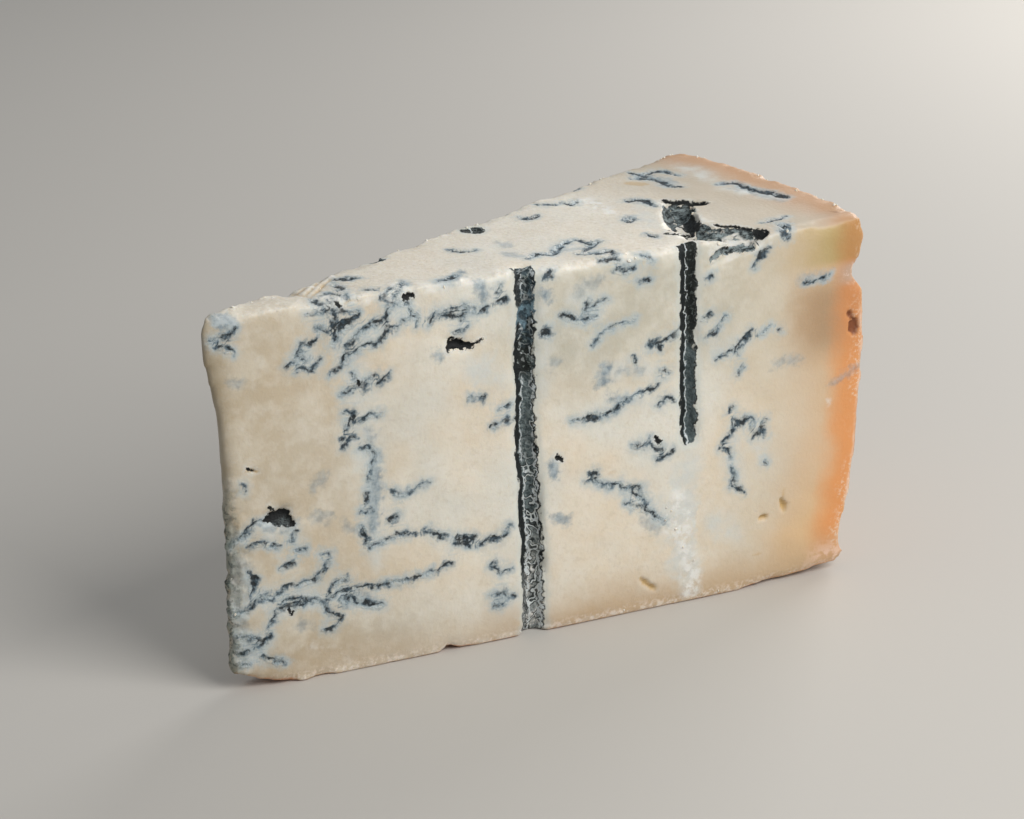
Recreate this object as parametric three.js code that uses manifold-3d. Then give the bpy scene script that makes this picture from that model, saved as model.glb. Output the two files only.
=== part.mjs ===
// A wedge of blue-veined cheese, in millimetres with +Z up.
// It is made the way the real one is: a wheel is turned, halved and cut in wedges, and the paste shows the
// needle channels and the hollows that the mould has opened.
// Until the last step the wheel's axis is the Z axis and the front cut runs along +X, facing -Y.
import * as THREE from 'three';
import { ImprovedNoise } from 'three/addons/math/ImprovedNoise.js';
import { mergeVertices } from 'three/addons/utils/BufferGeometryUtils.js';
import Module from 'manifold-3d';

// Driving dimensions of the wheel and the wedge
const WHEEL_RADIUS = 145;
const WEDGE_HEIGHT = 80; // half of the wheel's height: the top face is the cut through its middle
const WEDGE_ANGLE = THREE.MathUtils.degToRad(24);

// Rind: a slightly barrelled side with a pinched groove near the top and a lip at the foot
const BELLY_PROUD = 1.8;
const BELLY_HEIGHT = 45;
const FOOT_INSET = 3.2;
const FOOT_CURL = 2; // how far the underside rises towards the rind
const FOOT_CURL_LENGTH = 24;
const FOOT_CURL_POWER = 2.2;
const LIP_HEIGHT = 3.6;
const LIP_PROUD = 1.7;
const LIP_WIDTH = 1.5;
const LIP_STEP = 0.9;
const GROOVE_HEIGHT = 68;
const GROOVE_DEPTH = 3;
const GROOVE_WIDTH = 7.4;
const RIND_STEP = 4.6;
const RIND_RELIEF = 0.7;

// Cuts: the faces that a knife leaves, slightly bowed and rippled
const CUT_STEP = 5;
const CUT_RELIEF = 0.5;
const TOP_RELIEF = 0.6;
const FRONT_BOW = 1.2;
const RIPPLE_LENGTH = 17;
const OVERSIZE = 12; // how far a knife block runs past the wheel

// Tip: blunt, swollen behind, nosing out and up at the top, and worn away underneath
const TIP_SETBACK = 2.9;
const TIP_LEAN = 3.9;
const TIP_LEAN_FROM = 0.66 * WEDGE_HEIGHT;
const TIP_LEAN_TO = 0.97 * WEDGE_HEIGHT;
const TIP_SWELL = 1.7;
const TIP_SWELL_LENGTH = 34;
const TIP_RISE = 1.1;
const TIP_RISE_LENGTH = 26;
const TIP_WEAR_LENGTH = 16;
const TIP_WEAR_HEIGHT = 5.5;
const TIP_BROW_LENGTH = 34;
const TIP_BROW_DROP = 1.9;

// Upright corner between the back cut and the rind, rounded by handling
const CORNER_RADIUS = 6;
const CORNER_SLACK = 0.5; // how far the rounding stands off the faces that it joins

// Needle channels and the edges' chips
const NEEDLE_RADIUS = 2.3;
const CHANNEL_ROUGHNESS = 0.4;
const HOLLOW_ROUGHNESS = 0.7;
const CHIP_SPACING = 12;
const CHIP_RADIUS = 1.5;

// The rounded corner: how far its middle is from the axis along the back cut, and how far it reaches in +Y
const CORNER_MIDDLE = Math.sqrt((WHEEL_RADIUS - CORNER_RADIUS) ** 2 - CORNER_RADIUS ** 2);
const CORNER_GIRTH = CORNER_RADIUS + CORNER_SLACK;
const CORNER_REACH =
  (CORNER_MIDDLE + BELLY_PROUD) * Math.sin(WEDGE_ANGLE) -
  CORNER_RADIUS * Math.cos(WEDGE_ANGLE) + CORNER_GIRTH;

// The origin is at the middle of the wedge's box, on its foot
const CENTRE_X = (WHEEL_RADIUS + BELLY_PROUD + TIP_SETBACK - TIP_LEAN) / 2;
const CENTRE_Y = (CORNER_REACH - FRONT_BOW) / 2;

const wasm = await Module();
wasm.setup();
const perlin = new ImprovedNoise();

// A fixed stream of random numbers from 0 to 1.
let seed = 7;
function random() {
  seed = (seed * 16807) % 2147483647;
  return seed / 2147483647;
}

// Two octaves of smooth noise, from about -1 to 1.
function ripple(point, length) {
  const coarse = perlin.noise(point.x / length, point.y / length, point.z / length);
  const fine = perlin.noise((point.x * 3) / length + 9.5, (point.y * 3) / length, (point.z * 3) / length);
  return coarse + fine / 2;
}

// Joins a geometry's shared vertices and moves each by the given function.
function reshape(geometry, move) {
  geometry.deleteAttribute('normal');
  geometry.deleteAttribute('uv');
  const merged = mergeVertices(geometry, 1e-3);
  const vertices = merged.getAttribute('position');
  const point = new THREE.Vector3();
  for (let i = 0; i < vertices.count; i += 1) {
    move(point.fromBufferAttribute(vertices, i));
    vertices.setXYZ(i, point.x, point.y, point.z);
  }
  return merged;
}

// A closed geometry as a solid. Triangles that have shrunk to a line at a pole are left out.
function solidOf(geometry) {
  const corners = geometry.getIndex().array;
  const triangles = [];
  for (let i = 0; i < corners.length; i += 3) {
    const [a, b, c] = [corners[i], corners[i + 1], corners[i + 2]];
    if (a !== b && b !== c && c !== a) {
      triangles.push(a, b, c);
    }
  }
  const mesh = new wasm.Mesh({
    numProp: 3,
    vertProperties: new Float32Array(geometry.getAttribute('position').array),
    triVerts: new Uint32Array(triangles),
  });
  return new wasm.Manifold(mesh);
}

function geometryOf(solid) {
  const mesh = solid.getMesh();
  const geometry = new THREE.BufferGeometry();
  geometry.setAttribute('position', new THREE.BufferAttribute(mesh.vertProperties, 3));
  geometry.setIndex(new THREE.BufferAttribute(mesh.triVerts, 1));
  geometry.computeVertexNormals();
  return geometry;
}

// How far the rind stands out from the wheel's radius at a height: belly, foot lip and groove.
function rindOffset(z) {
  const reach = z < BELLY_HEIGHT ? BELLY_HEIGHT : 1.6 * BELLY_HEIGHT;
  const barrel = BELLY_PROUD - (BELLY_PROUD + FOOT_INSET) * ((z - BELLY_HEIGHT) / reach) ** 2;
  const groove = GROOVE_DEPTH * Math.exp(-(((z - GROOVE_HEIGHT) / (GROOVE_WIDTH / 3)) ** 2));
  const lip = LIP_PROUD * Math.exp(-(((z - LIP_HEIGHT) / LIP_WIDTH) ** 2));
  return barrel - groove + lip;
}

// The half wheel before it is cut, a little taller than the wedge so that the top knife trims it.
function wheel() {
  const rim = WHEEL_RADIUS + rindOffset(FOOT_CURL);
  const profile = [new THREE.Vector2(0, 0)];
  const curlSteps = Math.round(FOOT_CURL_LENGTH / RIND_STEP);
  for (let i = 0; i <= curlSteps; i += 1) {
    const along = i / curlSteps;
    const rise = FOOT_CURL * along ** FOOT_CURL_POWER;
    profile.push(new THREE.Vector2(rim - FOOT_CURL_LENGTH * (1 - along), rise));
  }
  const full = WEDGE_HEIGHT + OVERSIZE / 2;
  let z = FOOT_CURL;
  while (z < full) {
    z = Math.min(full, z + (z < 2 * LIP_HEIGHT ? LIP_STEP : RIND_STEP / 2));
    profile.push(new THREE.Vector2(WHEEL_RADIUS + rindOffset(z), z));
  }
  profile.push(new THREE.Vector2(0, full));
  const around = Math.round((2 * Math.PI * WHEEL_RADIUS) / RIND_STEP);
  const body = new THREE.LatheGeometry(profile, around).rotateX(Math.PI / 2);
  return reshape(body, (p) => {
    const radius = Math.hypot(p.x, p.y);
    if (p.z > 0.5 && radius > WHEEL_RADIUS / 2) {
      const bump = (RIND_RELIEF * ripple(p, 7)) / radius;
      p.x += p.x * bump;
      p.y += p.y * bump;
    }
  });
}

// Fades from 1 at the wheel's axis to 0 at a distance from it.
const nearTip = (x, reach) => 1 - THREE.MathUtils.smoothstep(Math.abs(x), 0, reach);

// A block on the -Y side of the XZ plane. The face on that plane is bowed and rippled, as a cut is,
// and stands back by the swell beside the axis.
function cutBlock(length, bow, swell) {
  const tall = WEDGE_HEIGHT + 2 * OVERSIZE;
  const deep = WHEEL_RADIUS + OVERSIZE;
  const block = new THREE.BoxGeometry(
    length, deep, tall, Math.round(length / CUT_STEP), 1, Math.round(tall / CUT_STEP),
  );
  block.translate(0, -deep / 2, WEDGE_HEIGHT / 2);
  return reshape(block, (p) => {
    if (p.y > -1) {
      const along = (2 * Math.abs(p.x)) / WHEEL_RADIUS - 1;
      const bulge = bow * Math.max(0, 1 - along ** 2) + swell * nearTip(p.x, TIP_SWELL_LENGTH);
      p.y = CUT_RELIEF * ripple(p, RIPPLE_LENGTH) - bulge;
    }
  });
}

function frontKnife() {
  return solidOf(cutBlock(2 * (WHEEL_RADIUS + OVERSIZE), FRONT_BOW, 0));
}

// The second knife is the first one's mirror image, turned by the wedge's angle.
function backKnife() {
  const block = cutBlock(2 * (WHEEL_RADIUS + OVERSIZE), FRONT_BOW / 2, TIP_SWELL);
  return solidOf(block.rotateX(Math.PI).translate(0, 0, WEDGE_HEIGHT).rotateZ(WEDGE_ANGLE));
}

// The wire that halves the wheel.
function topKnife() {
  const long = WHEEL_RADIUS + 2 * OVERSIZE;
  const wide = WHEEL_RADIUS * Math.sin(WEDGE_ANGLE) + 2 * OVERSIZE;
  const block = new THREE.BoxGeometry(
    long, wide, OVERSIZE, Math.round(long / CUT_STEP), Math.round(wide / CUT_STEP), 1,
  );
  block.translate(long / 2 - OVERSIZE, wide / 2 - OVERSIZE, WEDGE_HEIGHT + OVERSIZE / 2);
  return solidOf(reshape(block, (p) => {
    if (p.z < WEDGE_HEIGHT + 1) {
      p.z = WEDGE_HEIGHT + TOP_RELIEF * ripple(p, RIPPLE_LENGTH) + TIP_RISE * nearTip(p.x, TIP_RISE_LENGTH);
    }
  }));
}

// What wear takes off the tip: its sharp edge, the heel below it and the brow above it.
function tipWear() {
  const tall = WEDGE_HEIGHT + 2 * OVERSIZE;
  const edge = new THREE.BoxGeometry(OVERSIZE, OVERSIZE, tall, 1, 8, Math.round(tall / CUT_STEP));
  edge.translate(-OVERSIZE / 2, 0, WEDGE_HEIGHT / 2);
  const blunt = reshape(edge, (p) => {
    if (p.x > -1) {
      const lean = TIP_LEAN * THREE.MathUtils.smoothstep(p.z, TIP_LEAN_FROM, TIP_LEAN_TO);
      p.x = TIP_SETBACK - lean + CUT_RELIEF * ripple(p, RIPPLE_LENGTH / 2);
    }
  });
  const heel = new THREE.BoxGeometry(2 * TIP_WEAR_LENGTH, OVERSIZE * 2, 2 * TIP_WEAR_HEIGHT, 8, 8, 1);
  const worn = reshape(heel, (p) => {
    const rise = TIP_WEAR_HEIGHT * Math.max(0, 1 - p.x / TIP_WEAR_LENGTH) ** 1.4;
    p.z = p.z > 0 ? rise - 0.05 : -TIP_WEAR_HEIGHT;
  });
  const brow = new THREE.BoxGeometry(2 * TIP_BROW_LENGTH, OVERSIZE, OVERSIZE, 12, 1, 1);
  const clear = OVERSIZE / (2 * Math.SQRT2) + FRONT_BOW;
  brow.rotateX(Math.PI / 4).translate(0, -clear, WEDGE_HEIGHT + clear);
  const soft = reshape(brow, (p) => {
    const drop = TIP_BROW_DROP * Math.max(0, 1 - Math.abs(p.x) / TIP_BROW_LENGTH);
    p.y += drop;
    p.z -= drop;
  });
  return solidOf(blunt).add(solidOf(worn)).add(solidOf(soft));
}

// What wear takes off the upright corner between the back cut and the rind, following the rind's barrel.
function cornerWear() {
  const tall = WEDGE_HEIGHT + 2 * OVERSIZE;
  const post = new THREE.CylinderGeometry(CORNER_GIRTH, CORNER_GIRTH, tall, 24, Math.round(tall / CUT_STEP));
  post.rotateX(Math.PI / 2).translate(CORNER_MIDDLE, -CORNER_RADIUS, WEDGE_HEIGHT / 2);
  const kept = reshape(post, (p) => {
    p.x += rindOffset(p.z);
  });
  const block = new THREE.BoxGeometry(2 * OVERSIZE, 2 * OVERSIZE, tall - OVERSIZE);
  block.translate(CORNER_MIDDLE + OVERSIZE, OVERSIZE - CORNER_RADIUS, WEDGE_HEIGHT / 2);
  const corner = reshape(block, () => {});
  return solidOf(corner.rotateZ(WEDGE_ANGLE)).subtract(solidOf(kept.rotateZ(WEDGE_ANGLE)));
}

// A rough round-ended burrow between two points, as a needle or the mould leaves it.
// It wanders off its axis, and with a taper it thins out towards its ends.
function burrow(from, to, radius, roughness, taper) {
  const axis = to.clone().sub(from);
  const half = axis.length() / 2 + radius;
  const rings = Math.max(2, Math.round(axis.length() / (1.6 * radius)));
  const tube = new THREE.CapsuleGeometry(radius, axis.length(), 2, 8, rings);
  const rough = reshape(tube, (p) => {
    const place = p.clone().add(from);
    const girth = (1 - taper * (p.y / half) ** 2) * (1 + roughness * ripple(place, 2.2 * radius));
    const sway = roughness * radius * ripple({ x: from.x, y: place.y, z: from.z }, 5 * radius);
    p.x = p.x * girth + sway;
    p.z = p.z * girth + sway / 2;
  });
  const turn = new THREE.Quaternion().setFromUnitVectors(new THREE.Vector3(0, 1, 0), axis.normalize());
  const middle = from.clone().add(to).multiplyScalar(0.5);
  return solidOf(rough.applyQuaternion(turn).translate(middle.x, middle.y, middle.z));
}

// A point on the front cut, a given depth behind it.
const onFront = (x, z, depth) => new THREE.Vector3(x, depth - FRONT_BOW, z);

// A point on the back cut, at a distance from the wheel's axis and a depth behind the cut.
function onBack(radius, z, depth) {
  return new THREE.Vector3(radius, -depth, z).applyAxisAngle(new THREE.Vector3(0, 0, 1), WEDGE_ANGLE);
}

const onTop = (x, y, depth) => new THREE.Vector3(x, y, WEDGE_HEIGHT - depth);

// The needles that let the air in. Two run down the front cut, the first of them bent where the paste has
// settled, one is crossed by the top cut, and the back cut lays two more of the same grid open.
function needleChannels() {
  const past = NEEDLE_RADIUS + 1;
  const runs = [
    [onFront(68.9, -past, 0.5), onFront(68.6, 19, 0.5), NEEDLE_RADIUS],
    [onFront(68.6, 19, 0.5), onFront(66.8, 46, 0.5), NEEDLE_RADIUS],
    [onFront(66.8, 46, 0.5), onFront(66.7, WEDGE_HEIGHT + past, 0.5), NEEDLE_RADIUS * 0.9],
    [onFront(104.4, 38, 0.6), onFront(103.4, WEDGE_HEIGHT + past, 0.6), NEEDLE_RADIUS * 0.72],
    [onTop(68, 26.5, -0.8), onTop(68, 26.5, -past), NEEDLE_RADIUS],
    [onBack(47, 24, 0.6), onBack(46, WEDGE_HEIGHT + past, 0.6), NEEDLE_RADIUS * 0.8],
    [onBack(98, -past, 0.7), onBack(99, 58, 0.7), NEEDLE_RADIUS],
  ];
  return runs.map(([from, to, radius]) => burrow(from, to, radius, CHANNEL_ROUGHNESS, 0));
}

// The hollows that the mould has opened in the paste, and the pits of the rind.
function mouldHollows() {
  const runs = [
    [onTop(118.5, 22.3, 0.2), onTop(112.5, 26.3, 0.2), 2], // head of the crater across the top
    [onTop(114.2, 23.5, 0.3), onTop(107.5, 9.5, 0.4), 3.1], // the crater
    [onTop(108.4, 13, 0.4), onTop(109.3, 4, 0.4), 3], // its bend towards the front edge
    [onTop(107.5, 4.6, -1.4), onTop(119.5, 0.9, -1.4), 4], // its arm along the broken front edge
    [onFront(118, 78, 0.4), onFront(109.5, 75, 0.4), 1.4], // its spur down the front
    [onTop(129.5, 32, 0.1), onTop(137.6, 17.5, 0.1), 0.9], // crack beside the rim
    [onFront(49.5, 67.4, 0.5), onFront(53.6, 66.2, 0.5), 1.6], // eye near the top
    [onFront(53, 66.3, 0.3), onFront(58, 66.9, 0.2), 0.9], // its tail
    [onFront(9.5, 36.2, 0.4), onFront(15.8, 38, 0.8), 1.5], // eye near the tip
    [onFront(15.2, 38, 0.6), onFront(16, 34.6, 0.4), 1.1], // its hook
    [onFront(40.8, 78.8, 0.6), onFront(43, 77.6, 0.6), 1.1], // gap under the top edge
    [onFront(22, 80, -0.4), onFront(29, 79.6, 0.2), 1.5], // crumbled place on the top edge
    [onFront(50, -0.8, 0), onFront(50, -0.6, 4), 2], // nick in the foot
    [onBack(21, WEDGE_HEIGHT, 1.5), onBack(23, WEDGE_HEIGHT + 1, -1), 2.2], // notch in the back edge
    [onFront(WHEEL_RADIUS + 0.6, 56, 1.5), onFront(WHEEL_RADIUS + 0.9, 54.5, 2), 1.2], // pit in the rind
    [onBack(70, 52, 0.7), onBack(74.5, 53.6, 0.7), 2.1], // eye in the middle of the back
    [onBack(74, 53.6, 0.3), onBack(80, 52, 0.2), 1.1], // its tail
    [onBack(26, 43.6, 0.5), onBack(28.6, 45.4, 0.5), 1.6], // eye near the tip of the back
    [onBack(119, 35, 0.5), onBack(122.6, 36.4, 0.6), 1.8], // eye by the rind
    [onBack(122, 36.4, 0.3), onBack(124, 40.4, 0.2), 1.1], // its hook
  ];
  return runs.map(([from, to, radius]) => burrow(from, to, radius, HOLLOW_ROUGHNESS, 0.5));
}

// Angular chips broken out along an edge, at random places and sizes.
function edgeChips(from, to) {
  const count = Math.round(from.distanceTo(to) / CHIP_SPACING);
  return Array.from({ length: count }, (_, i) => {
    const place = from.clone().lerp(to, (i + random()) / count);
    const chip = new THREE.IcosahedronGeometry(CHIP_RADIUS * (0.4 + 0.6 * random()), 0);
    chip.scale(1 + 1.5 * random(), 1, 0.8).rotateZ(Math.PI * random()).translate(place.x, place.y, place.z);
    return solidOf(reshape(chip, (p) => p.addScalar(0.4 * ripple(p, 2 * CHIP_RADIUS))));
  });
}

function allChips() {
  const frontTip = onTop(3 * TIP_SETBACK, 0.3, 0);
  const backTip = onBack(3 * TIP_SETBACK, WEDGE_HEIGHT, 0.3);
  const foot = onFront(TIP_WEAR_LENGTH + 4, -0.6, 0.2);
  return [
    ...edgeChips(frontTip, onTop(WHEEL_RADIUS - 5, -0.4, 0)),
    ...edgeChips(backTip, onBack(WHEEL_RADIUS - 5, WEDGE_HEIGHT, -0.4)),
    ...edgeChips(foot, onFront(WHEEL_RADIUS - 8, -0.6, 0.2)),
  ];
}

function wedge() {
  let solid = solidOf(wheel()).subtract(frontKnife()).subtract(backKnife()).subtract(topKnife());
  for (const cut of [tipWear(), cornerWear(), ...needleChannels(), ...mouldHollows(), ...allChips()]) {
    solid = solid.subtract(cut);
  }
  const paste = new THREE.MeshStandardMaterial({ color: 0xe2d8bd, roughness: 0.55, metalness: 0 });
  const mesh = new THREE.Mesh(geometryOf(solid), paste);
  mesh.name = 'cheese_wedge';
  mesh.position.set(-CENTRE_X, -CENTRE_Y, 0);
  return mesh;
}

const part = new THREE.Group();
part.add(wedge());

export default part;
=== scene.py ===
"""A wedge of soft blue cheese: its moist paste, mould veins, needle channels, crumbled edges and rind."""
import random
from math import cos, pi, radians, sin

import bmesh
import bpy
from mathutils import Euler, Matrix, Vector
from mathutils.bvhtree import BVHTree
from mathutils.kdtree import KDTree


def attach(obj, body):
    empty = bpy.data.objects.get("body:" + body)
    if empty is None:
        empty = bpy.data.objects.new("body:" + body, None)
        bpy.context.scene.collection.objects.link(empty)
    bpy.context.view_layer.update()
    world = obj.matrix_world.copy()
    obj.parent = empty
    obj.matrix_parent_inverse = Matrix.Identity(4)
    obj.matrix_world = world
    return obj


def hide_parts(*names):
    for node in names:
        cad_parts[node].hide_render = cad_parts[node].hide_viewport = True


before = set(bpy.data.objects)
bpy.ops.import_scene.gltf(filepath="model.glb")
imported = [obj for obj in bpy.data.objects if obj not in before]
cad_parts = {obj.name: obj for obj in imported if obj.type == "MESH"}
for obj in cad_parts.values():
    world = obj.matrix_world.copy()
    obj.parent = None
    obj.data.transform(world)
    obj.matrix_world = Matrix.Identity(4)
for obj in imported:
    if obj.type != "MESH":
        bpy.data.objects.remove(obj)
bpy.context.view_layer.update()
NODE = "cheese_wedge"
MM = 0.001

# The wheel that the wedge is cut from, in metres, in the part's frame
WHEEL_RADIUS = 0.145
WEDGE_HEIGHT = 0.080
WEDGE_ANGLE = radians(24)
WHEEL_AXIS = Vector((-0.0729, -0.02852, 0))
FRONT_BOW = 0.0012

# The cuts' outward directions, and how far each plane stands from the middle of the wheel's foot
CUTS = {
    "front": (Vector((0, -1, 0)), FRONT_BOW),
    "top": (Vector((0, 0, 1)), WEDGE_HEIGHT),
    "back": (Vector((-sin(WEDGE_ANGLE), cos(WEDGE_ANGLE), 0)), 0.0),
}

# The photograph's frame in pixels, and the camera that sees the wedge as it does
FRAME_SIZE = Vector((1024, 819))
SENSOR_WIDTH = 36
LENS = 105.47
CAMERA_PLACE = WHEEL_AXIS + Vector((-0.17531, -0.50516, 0.27276))
CAMERA_TURN = Euler((radians(90 - 21.673), 0, radians(-25.377)))

# The skin of the wedge: the size of its faces, how near a vein they are halved, and which points are merged
SKIN_STEP = 1.0 * MM
FINE_REACH = 1.6 * MM
MERGE_GAP = MM / 1000

# Steps between the points of a stroke, in pixels, and of a line on the wedge
PIXEL_STEP = 3.0
LINE_STEP = 1.0 * MM

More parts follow.
